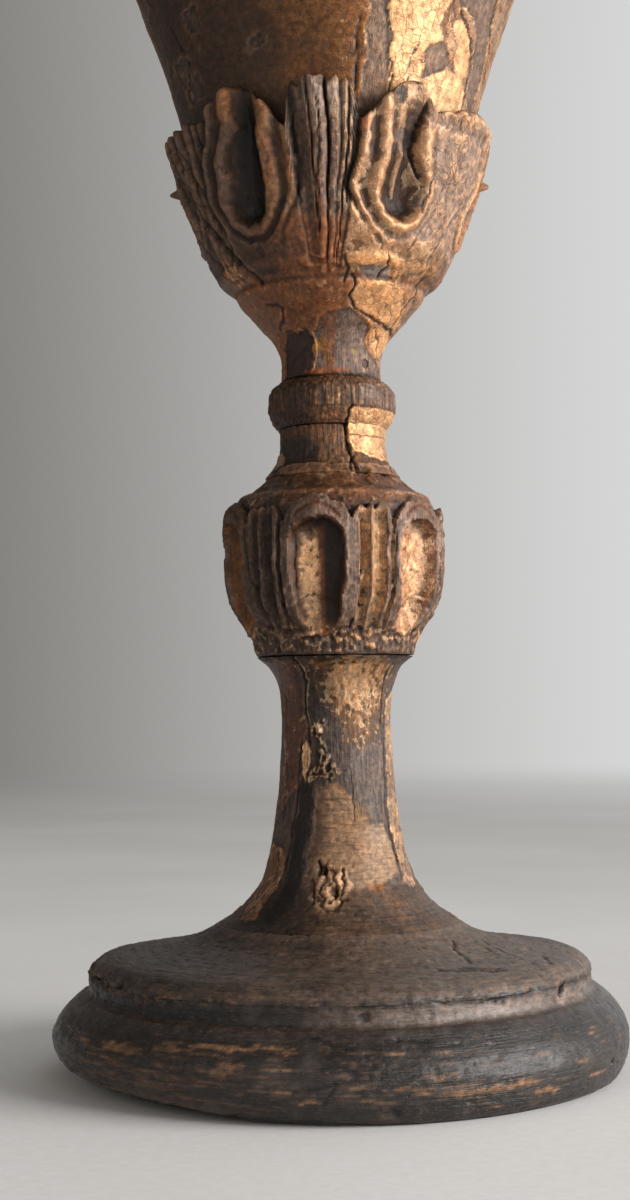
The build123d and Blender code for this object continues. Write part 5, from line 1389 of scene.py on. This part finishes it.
    for pts, w, dpt in (([(21, 226), (18, 218), (20.5, 212), (20, 207.1), (20, 204.5), (22, 201.6), (22, 198.3), (24, 193.7), (23, 186)], 0.24, 0.45),
                        ([(44, 219), (47, 212), (49, 207.6), (55, 205.7), (60, 202.6), (63, 198.3), (63, 191)], 0.26, 0.5),
                        ([(60, 222), (68, 212), (70, 208.5), (76, 204.7), (80, 200.4), (84, 194)], 0.24, 0.45),
                        ([(11, 204), (10, 200), (10.4, 196.1), (10, 191)], 0.2, 0.4), ([(44, 209.5), (46, 207.3), (46, 205.4)], 0.18, 0.3),
                        ([(31, 193.5), (30, 197.5), (33, 201)], 0.14, 0.2), ([(-62, 208), (-58, 201), (-63, 195)], 0.2, 0.3),
                        ([(-31, 236), (-33, 228), (-30, 220), (-34, 212)], 0.18, 0.35), ([(-8, 216), (-6, 209), (-9, 203)], 0.12, 0.12),
                        ([(112, 236), (116, 224), (110, 212), (114, 200), (111, 190)], 0.26, 0.5),
                        ([(-108, 230), (-104, 218), (-110, 206), (-107, 194)], 0.24, 0.45),
                        ([(170, 237), (166, 226), (171, 213)], 0.24, 0.45), ([(-150, 220), (-155, 208), (-149, 196)], 0.2, 0.4),
                        ([(140, 214), (146, 205), (141, 194)], 0.2, 0.4), ([(92, 222), (97, 212), (93, 203)], 0.2, 0.35)):
        crack(s, pts, w, dpt, 0.8, lin(24, 17, 13), 0.95)
    # thin level scratches
    for k, (t, z, a, b) in enumerate(scattered(8, 34, 191, 236)):
        d = s.line([(t - 4 - 9 * a, z), (t, z + 0.3), (t + 4 + 9 * b, z - 0.2)], 0.25)
        s.D -= 0.06 * np.exp(-((d / 0.14) ** 2)) * high
        s.over(lin(60, 42, 28), np.exp(-((d / 0.17) ** 2)) * 0.4 * out)
    pits(s, [(-86, 206, 0.8, 0.9), (128, 226, 0.85, 0.9), (-170, 212, 0.8, 0.8)])
    s.D = np.where(Z < 187.8, 0.0, s.D) * (out > 0)
    s.grain = np.clip(b_in * 0.9 + 0.15, 0, 1)
    s.turned = out * up_coat * 0.6
    s.craq = out * up_coat * (0.35 + 0.35 * turnside(T, 60, 60))
    s.rough = 0.43 + 0.07 * n2 + 0.08 * b_in - 0.06 * turnside(T, -72, 80)
    # painted shade darker in the hollows, painted highlight lighter on the edges
    h = s.bury(1.0, 4, 4)
    s.tone(np.clip(1.0 - 1.1 * np.clip(h, 0, 0.45) + 0.6 * np.clip(-h, 0, 0.2), 0.35, 1.25))
    # the hidden seat, the rim's top and the scraped inside, where the liner stands
    ins = 1 - out
    s.over(lin(158, 124, 88), ins)
    bore = (s.row_tag == "bore")[:, None] * np.ones(s.shape)
    s.over(lin(124, 92, 64), bore * step(n1 + 0.4 * n2, -0.2, 0.8) * 0.7)
    s.over(lin(92, 66, 46), bore * (1 - step(Z, 168, 186)) * 0.5)
    s.over(lin(110, 84, 60), (s.row_tag == "lip")[:, None] * step(n4, -0.2, 0.5) * 0.8)
    s.turned = np.where(ins > 0, 0.9, s.turned)
    s.rough = np.where(ins > 0, 0.62 + 0.05 * n2, s.rough)
    s.gold = np.where(ins > 0, -1.0, s.gold)
    return s.mesh(material, "chalice", ["bowl"], 48)


# ------------------------------------------------------------------------------------------
# liner
# ------------------------------------------------------------------------------------------
def inward(pts, d):
    """A profile that runs down to the axis, moved d towards the inside."""
    p = dense(pts)
    g = np.gradient(p, axis=0)
    m = np.hypot(g[:, 0], g[:, 1])
    q = np.c_[np.maximum(p[:, 0] + d * g[:, 1] / m, 0), p[:, 1] - d * g[:, 0] / m]
    q[-1] = (0.0, pts[-1][1] + d)
    return q


def make_liner(material):
    s = Skin("liner_spun", 360)
    outer, inner = inward(BOWL_IN, 0.36), inward(BOWL_IN, 1.24)
    outer, inner = outer[outer[:, 1] < 237.6], inner[inner[:, 1] < 237.6]
    s.add("out", [tuple(p) for p in outer[::-1]], 0.9, False)
    s.add("out", [tuple(outer[0]), (43.04, 238.22), (44.6, 238.22), (46.3, 238.22)], 0.6, False)
    s.add("out", [(46.3, 238.22), (46.9, 238.4), (47.17, 239.1), (46.9, 239.75), (46.2, 239.97)], 0.25)
    s.add("out", [(46.2, 239.97), (43.3, 239.97)], 0.5, False)
    s.add("out", [(43.3, 239.97), (42.7, 239.75), (42.3, 239.2), (42.15, 238.2), tuple(inner[0])], 0.3)
    s.add("out", [tuple(p) for p in inner], 0.9, False)
    s.close(False)
    P, C, T, Z = s.P, s.C, s.TT, s.Z
    wall = np.zeros(s.shape)
    k = int(np.argmax(s.R[:, 0]))
    wall[k:] = step(s.Z[k:], 236.5, 233.0)
    # spun rings and a few dents, on the inside only, never thicker than the sheet
    n1, n2 = fbm(P, 13, 3, 641), fbm(P, 4, 3, 642)
    s.D += wall * (-0.03 + 0.05 * np.clip(n1, -1, 0.6) + 0.012 * noise(C, (50, 50, 1.6), 643)) * 0.8
    for t, z, a in ((-20, 214, 3.0), (70, 224, 2.2), (150, 205, 3.4), (-110, 198, 2.6), (20, 188, 2.6)):
        r0 = float(np.interp(z, inner[::-1, 1], inner[::-1, 0]))
        d = np.hypot(turn(T, t) * RAD * r0, Z - z) / a
        s.D -= wall * 0.12 * np.exp(-(d**2))
    s.paint[:] = lin(186, 148, 84)
    s.over(lin(150, 112, 62), step(n1, -0.1, 0.7) * 0.6)
    s.over(lin(206, 176, 118), step(n2, 0.1, 0.8) * 0.5)
    s.over(lin(96, 72, 48), wall * (1 - step(Z, 168, 190)) * step(n2 + 0.5 * n1, -0.4, 0.5) * 0.6)
    s.over(lin(226, 200, 150), step(Z, 239.2, 239.9) * step(n2, -0.4, 0.4) * 0.6)
    s.over(lin(92, 66, 40), (np.exp(-(((Z - 238.3) / 0.5) ** 2)) + 0) * step(s.R, 42.5, 43.5) * 0.6)
    s.rough = 0.30 + 0.08 * n2 + 0.05 * n1
    s.turned[:] = 1.0
    s.gold[:] = -1.0
    return s.mesh(material, "liner", ["liner"], 40)


# ------------------------------------------------------------------------------------------
# materials
# ------------------------------------------------------------------------------------------
class Graph:
    """A material's node tree, built by small steps. Lengths are in millimetres."""

    def __init__(self, name):
        self.mat = bpy.data.materials.new(name)
        self.mat.use_nodes = True
        self.tree = self.mat.node_tree
        self.tree.nodes.clear()
        coord = self.new("ShaderNodeTexCoord").outputs["Object"]
        self.p = self.vec("SCALE", coord, scale=1000.0)

    def new(self, kind, **props):
        node = self.tree.nodes.new(kind)
        for key, value in props.items():
            setattr(node, key, value)
        return node

    def put(self, socket, value):
        if isinstance(value, bpy.types.NodeSocket):
            self.tree.links.new(value, socket)
        elif value is not None:
            socket.default_value = value

    def num(self, op, a, b=None, c=None, clamp=False):
        node = self.new("ShaderNodeMath", operation=op, use_clamp=clamp)
        for socket, value in zip(node.inputs, (a, b, c)):
            self.put(socket, value)
        return node.outputs[0]

    def vec(self, op, a, b=None, scale=None):
        node = self.new("ShaderNodeVectorMath", operation=op)
        self.put(node.inputs[0], a)
        if b is not None:
            self.put(node.inputs[1], b)
        if scale is not None:
            self.put(node.inputs["Scale"], scale)
        return node.outputs[0]

    def noise(self, vec, size, detail=2.0, rough=0.55, warp=0.0):
        node = self.new("ShaderNodeTexNoise", noise_dimensions="3D")
        self.put(node.inputs["Vector"], vec)
        node.inputs["Scale"].default_value = 1.0 / size
        node.inputs["Detail"].default_value = detail
        node.inputs["Roughness"].default_value = rough
        node.inputs["Distortion"].default_value = warp
        return node.outputs[0]

    def cells(self, vec, size, feature="DISTANCE_TO_EDGE"):
        node = self.new("ShaderNodeTexVoronoi", feature=feature, voronoi_dimensions="3D")
        self.put(node.inputs["Vector"], vec)
        node.inputs["Scale"].default_value = 1.0 / size
        return node.outputs["Distance"]

    def ease(self, x, lo, hi, to0=0.0, to1=1.0):
        node = self.new("ShaderNodeMapRange", interpolation_type="SMOOTHSTEP")
        for key, value in (("Value", x), ("From Min", lo), ("From Max", hi), ("To Min", to0), ("To Max", to1)):
            self.put(node.inputs[key], value)
        return node.outputs[0]

    def mix(self, fac, a, b, blend="MIX"):
        node = self.new("ShaderNodeMix", data_type="RGBA", blend_type=blend)
        self.put(node.inputs[0], fac)
        for socket, value in ((node.inputs[6], a), (node.inputs[7], b)):
            if isinstance(value, (tuple, list, np.ndarray)):
                value = tuple(float(c) for c in value[:3]) + (1.0,)
            self.put(socket, value)
        return node.outputs[2]

    def blend(self, fac, a, b):
        node = self.new("ShaderNodeMix", data_type="FLOAT")
        self.put(node.inputs[0], fac)
        self.put(node.inputs[2], a)
        self.put(node.inputs[3], b)
        return node.outputs[0]

    def attribute(self, name):
        return self.new("ShaderNodeAttribute", attribute_name=name)

    def split(self, colour):
        node = self.new("ShaderNodeSeparateColor")
        self.put(node.inputs[0], colour)
        return node.outputs[0], node.outputs[1], node.outputs[2]

    def finish(self, colour, metal, rough, height, uniform):
        shader = self.new("ShaderNodeBsdfPrincipled")
        out = self.new("ShaderNodeOutputMaterial")
        self.put(shader.inputs["Base Color"], colour)
        self.put(shader.inputs["Metallic"], metal)
        self.put(shader.inputs["Roughness"], rough)
        for key, value in uniform.items():
            shader.inputs[key].default_value = value
        bump = self.new("ShaderNodeBump")
        bump.inputs["Strength"].default_value = 1.0
        bump.inputs["Distance"].default_value = 0.001
        self.put(bump.inputs["Height"], height)
        self.put(shader.inputs["Normal"], bump.outputs[0])
        self.tree.links.new(shader.outputs[0], out.inputs[0])
        return self.mat


def gilded_wood():
    g = Graph("gilded_wood_aged")
    p = g.p
    paint = g.attribute("paint").outputs["Color"]
    mask = g.attribute("mask")
    leaf, craq, grain = g.split(mask.outputs["Color"])
    turned = mask.outputs["Alpha"]
    rough0, speck, dark = g.split(g.attribute("finish").outputs["Color"])
    flow = g.vec("SCALE", g.attribute("flow").outputs["Vector"], scale=1000.0)

    fine = g.noise(p, 0.34, 3.0, 0.65)
    mid = g.noise(p, 1.15, 3.0, 0.6)
    big = g.noise(p, 5.0, 3.0, 0.55)
    upright = g.vec("MULTIPLY", p, (1.0, 1.0, 0.075))
    fibre = g.noise(upright, 0.30, 4.0, 0.62, 0.15)
    vein = g.noise(upright, 0.85, 3.0, 0.6, 0.2)
    level = g.vec("MULTIPLY", flow, (0.06, 0.06, 1.0))
    rings = g.noise(level, 0.26, 4.0, 0.6, 0.1)

    # colour of wood and gesso
    colour = g.mix(g.ease(mid, 0.36, 0.66), g.mix(1.0, paint, (0.66, 0.63, 0.62), "MULTIPLY"), g.mix(1.0, paint, (1.18, 1.13, 1.06), "MULTIPLY"))
    colour = g.mix(g.ease(big, 0.40, 0.66, 0.0, 0.55), colour, g.mix(1.0, colour, (1.10, 0.92, 0.78), "MULTIPLY"))
    dark_fibre = g.num("MULTIPLY", grain, g.ease(fibre, 0.52, 0.34), clamp=True)
    colour = g.mix(g.num("MULTIPLY", dark_fibre, 0.70), colour, g.mix(1.0, colour, (0.36, 0.31, 0.29), "MULTIPLY"))
    pale_fibre = g.num("MULTIPLY", grain, g.ease(vein, 0.56, 0.72), clamp=True)
    colour = g.mix(g.num("MULTIPLY", pale_fibre, 0.5), colour, g.mix(1.0, colour, (1.5, 1.42, 1.36), "MULTIPLY"))
    ring_dark = g.num("MULTIPLY", turned, g.ease(rings, 0.52, 0.36), clamp=True)
    colour = g.mix(g.num("MULTIPLY", ring_dark, 0.5), colour, g.mix(1.0, colour, (0.52, 0.45, 0.42), "MULTIPLY"))

    # worn leaf: broken edges and flecks
    broken = g.num("ADD", g.num("MULTIPLY", g.num("SUBTRACT", fine, 0.5), 2.6), g.num("MULTIPLY", g.num("SUBTRACT", mid, 0.5), 1.2))
    field = g.num("ADD", g.num("MULTIPLY", g.num("SUBTRACT", leaf, 0.5), 2.0), g.num("MULTIPLY", broken, g.num("MULTIPLY_ADD", speck, 0.55, 0.15)))
    gold = g.ease(field, -0.10, 0.16)
    tone = g.noise(p, 2.1, 3.0, 0.6)
    leaf_a = g.mix(g.ease(tone, 0.34, 0.66), lin(154, 124, 90), lin(206, 178, 144))
    leaf_b = g.mix(g.ease(fine, 0.46, 0.8), leaf_a, lin(236, 216, 190))
    leaf_c = g.mix(0.55, leaf_b, g.mix(1.0, leaf_b, g.mix(1.0, paint, (2.3, 2.3, 2.3), "MULTIPLY"), "MULTIPLY"))
    colour = g.mix(g.num("MULTIPLY", gold, 0.84), colour, leaf_c)
    # dirt that lies in the small pores
    pore = g.ease(g.noise(p, 0.62, 3.0, 0.7), 0.40, 0.30)
    colour = g.mix(g.num("MULTIPLY", pore, 0.65), colour, g.mix(1.0, colour, (0.30, 0.26, 0.24), "MULTIPLY"))
    # age cracks
    net = g.cells(g.vec("MULTIPLY", p, (1.0, 1.0, 0.8)), 2.1)
    net_line = g.num("MULTIPLY", craq, g.ease(net, 0.055, 0.012), clamp=True)
    net_line = g.num("MULTIPLY", net_line, g.ease(big, 0.42, 0.56))
    colour = g.mix(g.num("MULTIPLY", net_line, 0.7), colour, lin(44, 31, 24))

    metal = g.num("MULTIPLY", gold, g.ease(tone, 0.3, 0.6, 0.18, 0.45))
    rough = g.num("ADD", rough0, g.num("MULTIPLY", g.num("SUBTRACT", mid, 0.5), 0.35))
    rough = g.num("ADD", rough, g.num("MULTIPLY", pore, 0.2))
    rough = g.blend(g.num("MULTIPLY", gold, 0.7), rough, g.ease(fine, 0.3, 0.7, 0.32, 0.50))
    rough = g.num("MAXIMUM", g.num("MINIMUM", rough, 0.9), 0.2)

    h = g.num("MULTIPLY", g.num("SUBTRACT", fine, 0.5), 0.085)
    h = g.num("ADD", h, g.num("MULTIPLY", g.num("SUBTRACT", mid, 0.5), 0.16))
    h = g.num("ADD", h, g.num("MULTIPLY", g.num("MULTIPLY", grain, g.num("SUBTRACT", fibre, 0.5)), 0.26))
    h = g.num("ADD", h, g.num("MULTIPLY", g.num("MULTIPLY", turned, g.num("SUBTRACT", rings, 0.5)), 0.16))
    h = g.num("ADD", h, g.num("MULTIPLY", gold, 0.022))
    h = g.num("SUBTRACT", h, g.num("MULTIPLY", net_line, 0.06))
    h = g.num("SUBTRACT", h, g.num("MULTIPLY", pore, 0.05))
    return g.finish(colour, metal, rough, h, {"IOR": 1.5, "Coat Weight": 0.04, "Coat Roughness": 0.32, "Specular IOR Level": 0.3})


def dark_wood():
    g = Graph("dark_wood_polished")
    p = g.p
    paint = g.attribute("paint").outputs["Color"]
    mask = g.attribute("mask")
    turned = mask.outputs["Alpha"]
    rough0, speck, dark = g.split(g.attribute("finish").outputs["Color"])
    flow = g.vec("SCALE", g.attribute("flow").outputs["Vector"], scale=1000.0)
    fine = g.noise(p, 0.38, 3.0, 0.65)
    mid = g.noise(p, 1.3, 3.0, 0.6)
    big = g.noise(p, 6.5, 3.0, 0.55)
    level = g.vec("MULTIPLY", flow, (0.05, 0.05, 1.0))
    rings = g.noise(level, 0.30, 4.0, 0.62, 0.1)
    wide = g.noise(level, 1.1, 3.0, 0.6, 0.2)
    short = g.noise(g.vec("MULTIPLY", flow, (0.22, 0.22, 1.0)), 0.26, 3.0, 0.6)

    colour = g.mix(g.ease(mid, 0.34, 0.68), g.mix(1.0, paint, (0.70, 0.68, 0.68), "MULTIPLY"), g.mix(1.0, paint, (1.22, 1.16, 1.10), "MULTIPLY"))
    colour = g.mix(g.ease(wide, 0.48, 0.70, 0.0, 0.6), colour, g.mix(1.0, colour, (1.42, 1.20, 1.02), "MULTIPLY"))
    ring_dark = g.num("MULTIPLY", turned, g.ease(rings, 0.50, 0.34), clamp=True)
    colour = g.mix(g.num("MULTIPLY", ring_dark, 0.6), colour, g.mix(1.0, colour, (0.48, 0.42, 0.40), "MULTIPLY"))
    worn = g.ease(short, 0.60, 0.68, 0.0, 0.5)
    colour = g.mix(worn, colour, g.mix(0.55, colour, lin(146, 112, 82)))
    dust = g.ease(big, 0.55, 0.75, 0.0, 0.16)
    colour = g.mix(dust, colour, lin(126, 112, 102))
    pore = g.ease(g.noise(g.vec("MULTIPLY", flow, (0.3, 0.3, 1.0)), 0.5, 3.0, 0.7), 0.38, 0.30)
    colour = g.mix(g.num("MULTIPLY", pore, 0.6), colour, lin(18, 14, 12))

    rough = g.num("ADD", rough0, g.num("MULTIPLY", g.num("SUBTRACT", mid, 0.5), 0.30))
    rough = g.num("ADD", rough, g.num("MULTIPLY", g.num("SUBTRACT", rings, 0.5), 0.25))
    rough = g.num("MAXIMUM", g.num("MINIMUM", rough, 0.9), 0.2)
    h = g.num("MULTIPLY", g.num("SUBTRACT", fine, 0.5), 0.075)
    h = g.num("ADD", h, g.num("MULTIPLY", g.num("SUBTRACT", mid, 0.5), 0.16))
    h = g.num("ADD", h, g.num("MULTIPLY", g.num("MULTIPLY", turned, g.num("SUBTRACT", rings, 0.5)), 0.22))
    h = g.num("SUBTRACT", h, g.num("MULTIPLY", pore, 0.04))
    return g.finish(colour, 0.0, rough, h, {"IOR": 1.5, "Coat Weight": 0.16, "Coat Roughness": 0.26, "Specular IOR Level": 0.42})


def liner_brass():
    g = Graph("liner_gilt_brass")
    p = g.p
    paint = g.attribute("paint").outputs["Color"]
    rough0, speck, dark = g.split(g.attribute("finish").outputs["Color"])
    flow = g.vec("SCALE", g.attribute("flow").outputs["Vector"], scale=1000.0)
    level = g.vec("MULTIPLY", flow, (0.02, 0.02, 1.0))
    spun = g.noise(level, 0.16, 4.0, 0.65)
    bands = g.noise(level, 1.6, 3.0, 0.6)
    fine = g.noise(p, 0.5, 3.0, 0.65)
    mid = g.noise(p, 2.4, 4.0, 0.6)
    big = g.noise(p, 9.0, 3.0, 0.6)
    colour = g.mix(g.ease(mid, 0.36, 0.66), g.mix(1.0, paint, (0.78, 0.70, 0.60), "MULTIPLY"), g.mix(1.0, paint, (1.12, 1.10, 1.06), "MULTIPLY"))
    colour = g.mix(g.ease(spun, 0.52, 0.70, 0.0, 0.35), colour, lin(232, 204, 150))
    colour = g.mix(g.ease(bands, 0.50, 0.32, 0.0, 0.30), colour, lin(128, 92, 52))
    tarnish = g.num("MULTIPLY", g.ease(big, 0.50, 0.66), g.ease(fine, 0.36, 0.60))
    colour = g.mix(g.num("MULTIPLY", tarnish, 0.55), colour, lin(84, 62, 42))
    rough = g.num("ADD", rough0, g.num("MULTIPLY", g.num("SUBTRACT", spun, 0.5), 0.22))
    rough = g.num("ADD", rough, g.num("MULTIPLY", tarnish, 0.26))
    rough = g.num("MAXIMUM", g.num("MINIMUM", rough, 0.85), 0.14)
    metal = g.num("SUBTRACT", 1.0, g.num("MULTIPLY", tarnish, 0.35))
    h = g.num("MULTIPLY", g.num("SUBTRACT", spun, 0.5), 0.014)
    h = g.num("ADD", h, g.num("MULTIPLY", g.num("SUBTRACT", mid, 0.5), 0.05))
    h = g.num("ADD", h, g.num("MULTIPLY", g.num("SUBTRACT", fine, 0.5), 0.008))
    return g.finish(colour, metal, rough, h, {"IOR": 1.5})


def old_iron():
    g = Graph("iron_rusted")
    p = g.p
    fine = g.noise(p, 0.16, 3.0, 0.65)
    mid = g.noise(p, 0.55, 3.0, 0.6)
    big = g.noise(p, 2.4, 3.0, 0.6)
    rust = g.ease(mid, 0.42, 0.60)
    colour = g.mix(g.ease(fine, 0.3, 0.7), lin(40, 36, 34), lin(78, 72, 68))
    colour = g.mix(g.num("MULTIPLY", rust, 0.8), colour, g.mix(g.ease(big, 0.35, 0.65), lin(86, 48, 30), lin(126, 72, 40)))
    metal = g.num("SUBTRACT", 0.85, g.num("MULTIPLY", rust, 0.75))
    rough = g.num("ADD", 0.42, g.num("MULTIPLY", rust, 0.36))
    h = g.num("ADD", g.num("MULTIPLY", fine, 0.03), g.num("MULTIPLY", rust, 0.05))
    return g.finish(colour, metal, rough, h, {"IOR": 1.5})


def wedge_wood():
    g = Graph("hardwood_bare")
    p = g.p
    along = g.vec("MULTIPLY", p, (1.0, 1.0, 0.08))
    fibre = g.noise(along, 0.22, 4.0, 0.62)
    vein = g.noise(along, 0.9, 3.0, 0.6, 0.3)
    mid = g.noise(p, 1.6, 3.0, 0.6)
    colour = g.mix(g.ease(vein, 0.34, 0.68), lin(116, 84, 56), lin(172, 134, 92))
    colour = g.mix(g.ease(fibre, 0.50, 0.34, 0.0, 0.65), colour, lin(74, 50, 34))
    colour = g.mix(g.ease(mid, 0.52, 0.72, 0.0, 0.5), colour, lin(66, 50, 40))
    rough = g.ease(mid, 0.3, 0.7, 0.55, 0.72)
    h = g.num("ADD", g.num("MULTIPLY", fibre, 0.10), g.num("MULTIPLY", mid, 0.05))
    return g.finish(colour, 0.0, rough, h, {"IOR": 1.5})


def floor_plaster():
    g = Graph("stage_floor_matt")
    p = g.p
    big = g.noise(p, 190.0, 3.0, 0.55)
    fine = g.noise(p, 2.2, 3.0, 0.6)
    colour = g.mix(g.ease(big, 0.3, 0.7), lin(224, 222, 219), lin(234, 232, 230))
    colour = g.mix(g.ease(fine, 0.3, 0.7, 0.0, 0.3), colour, lin(216, 213, 210))
    # plain matt sheet; far out it thins away, so that no horizon line shows
    away = g.new("ShaderNodeVectorMath", operation="LENGTH")
    g.put(away.inputs[0], p)
    out = g.ease(away.outputs["Value"], 420.0, 1900.0)
    shader = g.new("ShaderNodeBsdfPrincipled")
    g.put(shader.inputs["Base Color"], colour)
    g.put(shader.inputs["Roughness"], 0.9)
    shader.inputs["Specular IOR Level"].default_value = 0.0
    bump = g.new("ShaderNodeBump")
    bump.inputs["Distance"].default_value = 0.001
    g.put(bump.inputs["Height"], g.num("MULTIPLY", fine, 0.04))
    g.put(shader.inputs["Normal"], bump.outputs[0])
    clear = g.new("ShaderNodeBsdfTransparent")
    both = g.new("ShaderNodeMixShader")
    g.put(both.inputs[0], out)
    g.tree.links.new(shader.outputs[0], both.inputs[1])
    g.tree.links.new(clear.outputs[0], both.inputs[2])
    end = g.new("ShaderNodeOutputMaterial")
    g.tree.links.new(both.outputs[0], end.inputs[0])
    return g.mat


# ------------------------------------------------------------------------------------------
# put together
# ------------------------------------------------------------------------------------------
wood, black = gilded_wood(), dark_wood()
make_foot(black)
make_stem(wood)
make_knop(wood)
make_neck(wood)
make_collar(wood)
make_calyx(wood)
make_bowl(wood)
make_liner(liner_brass())


def finish_cad(node, material):
    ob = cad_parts[node]
    ob.data.materials.clear()
    ob.data.materials.append(material)


finish_cad("locking_pins", old_iron())
finish_cad("foot_wedge", wedge_wood())

# floor: a wide round sheet, far larger than any view shows
import bmesh

bm = bmesh.new()
rings, spokes = [0.0, 0.12, 0.3, 0.7, 1.5, 3.2], 72
centre = bm.verts.new((0, 0, 0))
loops = [[bm.verts.new((r * math.sin(2 * math.pi * k / spokes), r * math.cos(2 * math.pi * k / spokes), 0)) for k in range(spokes)]
         for r in rings[1:]]
for k in range(spokes):
    bm.faces.new((centre, loops[0][(k + 1) % spokes], loops[0][k]))
    for a, b in zip(loops[:-1], loops[1:]):
        bm.faces.new((a[k], a[(k + 1) % spokes], b[(k + 1) % spokes], b[k]))
me = bpy.data.meshes.new("stage_floor")
bm.normal_update()
bm.to_mesh(me)
bm.free()
me.materials.append(floor_plaster())
floor = bpy.data.objects.new("stage_floor", me)
bpy.context.scene.collection.objects.link(floor)


# ------------------------------------------------------------------------------------------
# light
# ------------------------------------------------------------------------------------------
def area(name, at, aim, width, height, power, colour=(1, 1, 1)):
    lamp = bpy.data.lights.new(name, "AREA")
    lamp.shape = "RECTANGLE"
    lamp.size, lamp.size_y = width, height
    lamp.energy = power
    lamp.color = colour
    ob = bpy.data.objects.new(name, lamp)
    ob.location = at
    ob.rotation_euler = (Vector(aim) - Vector(at)).to_track_quat("-Z", "Y").to_euler()
    bpy.context.scene.collection.objects.link(ob)
    return ob


area("key_right", (1.05, -0.42, 0.30), (0, 0, 0.12), 0.85, 0.75, 24.0, (1.0, 0.985, 0.975))
area("fill_left_front", (-0.75, -0.95, 0.55), (0, 0, 0.12), 0.8, 0.8, 2.3, (1.0, 0.95, 0.88))

world = bpy.data.worlds.new("pale_studio")
bpy.context.scene.world = world
world.use_nodes = True
wt = world.node_tree
wt.nodes.clear()
w_out = wt.nodes.new("ShaderNodeOutputWorld")
w_bg = wt.nodes.new("ShaderNodeBackground")
coord = wt.nodes.new("ShaderNodeTexCoord")
xyz = wt.nodes.new("ShaderNodeSeparateXYZ")
wt.links.new(coord.outputs["Generated"], xyz.inputs[0])


def w_range(x, lo, hi, a, b):
    node = wt.nodes.new("ShaderNodeMapRange")
    node.interpolation_type = "SMOOTHSTEP"
    wt.links.new(x, node.inputs["Value"])
    for key, value in (("From Min", lo), ("From Max", hi), ("To Min", a), ("To Max", b)):
        node.inputs[key].default_value = value
    return node.outputs[0]


def w_num(op, a, b):
    node = wt.nodes.new("ShaderNodeMath")
    node.operation = op
    wt.links.new(a, node.inputs[0])
    wt.links.new(b, node.inputs[1])
    return node.outputs[0]


near_light = w_range(xyz.outputs[0], -0.35, 0.30, 0.13, 0.76)
wide_light = w_range(xyz.outputs[0], -0.9, 0.9, 0.36, 0.62)
w_pick = wt.nodes.new("ShaderNodeMix")
w_pick.data_type = "FLOAT"
wt.links.new(w_range(xyz.outputs[1], -0.1, 0.4, 0.0, 1.0), w_pick.inputs[0])
wt.links.new(wide_light, w_pick.inputs[2])
wt.links.new(near_light, w_pick.inputs[3])
side_light = w_pick.outputs[0]
front_back = w_range(xyz.outputs[1], -0.55, 0.35, 0.5, 1.0)
overhead = w_range(xyz.outputs[2], 0.3, 0.9, 1.0, 0.85)
product = w_num("MULTIPLY", w_num("MULTIPLY", side_light, front_back), overhead)
ramp = wt.nodes.new("ShaderNodeMix")
ramp.data_type = "RGBA"
ramp.inputs[6].default_value = (1.0, 0.955, 0.90, 1.0)
ramp.inputs[7].default_value = (0.965, 0.99, 1.0, 1.0)
wt.links.new(w_range(xyz.outputs[0], -0.4, 0.4, 0.0, 1.0), ramp.inputs[0])
wt.links.new(ramp.outputs[2], w_bg.inputs["Color"])
wt.links.new(product, w_bg.inputs["Strength"])
wt.links.new(w_bg.outputs[0], w_out.inputs[0])

# ------------------------------------------------------------------------------------------
# camera
# ------------------------------------------------------------------------------------------
scene = bpy.context.scene
scene.view_settings.view_transform = "Standard"
scene.view_settings.look = "None"
cam = bpy.data.cameras.new("camera")
cam.sensor_width = 36.0
cam.sensor_fit = "AUTO"
cam.lens = 36.0 * 1850.0 / 1200.0
cam.clip_start = 0.02
cam.clip_end = 30.0
camera = bpy.data.objects.new("camera", cam)
scene.collection.objects.link(camera)
yaw, pitch, roll = math.atan(19.5 / 1850.0), math.atan(104.7 / 1850.0), math.radians(0.74)
look = Matrix.Rotation(yaw, 4, "Z") @ Matrix.Rotation(math.pi / 2 + pitch, 4, "X") @ Matrix.Rotation(-roll, 4, "Z")
camera.matrix_world = Matrix.Translation((0.0, -0.379, 0.0729)) @ look
scene.camera = camera

bpy.context.view_layer.update()
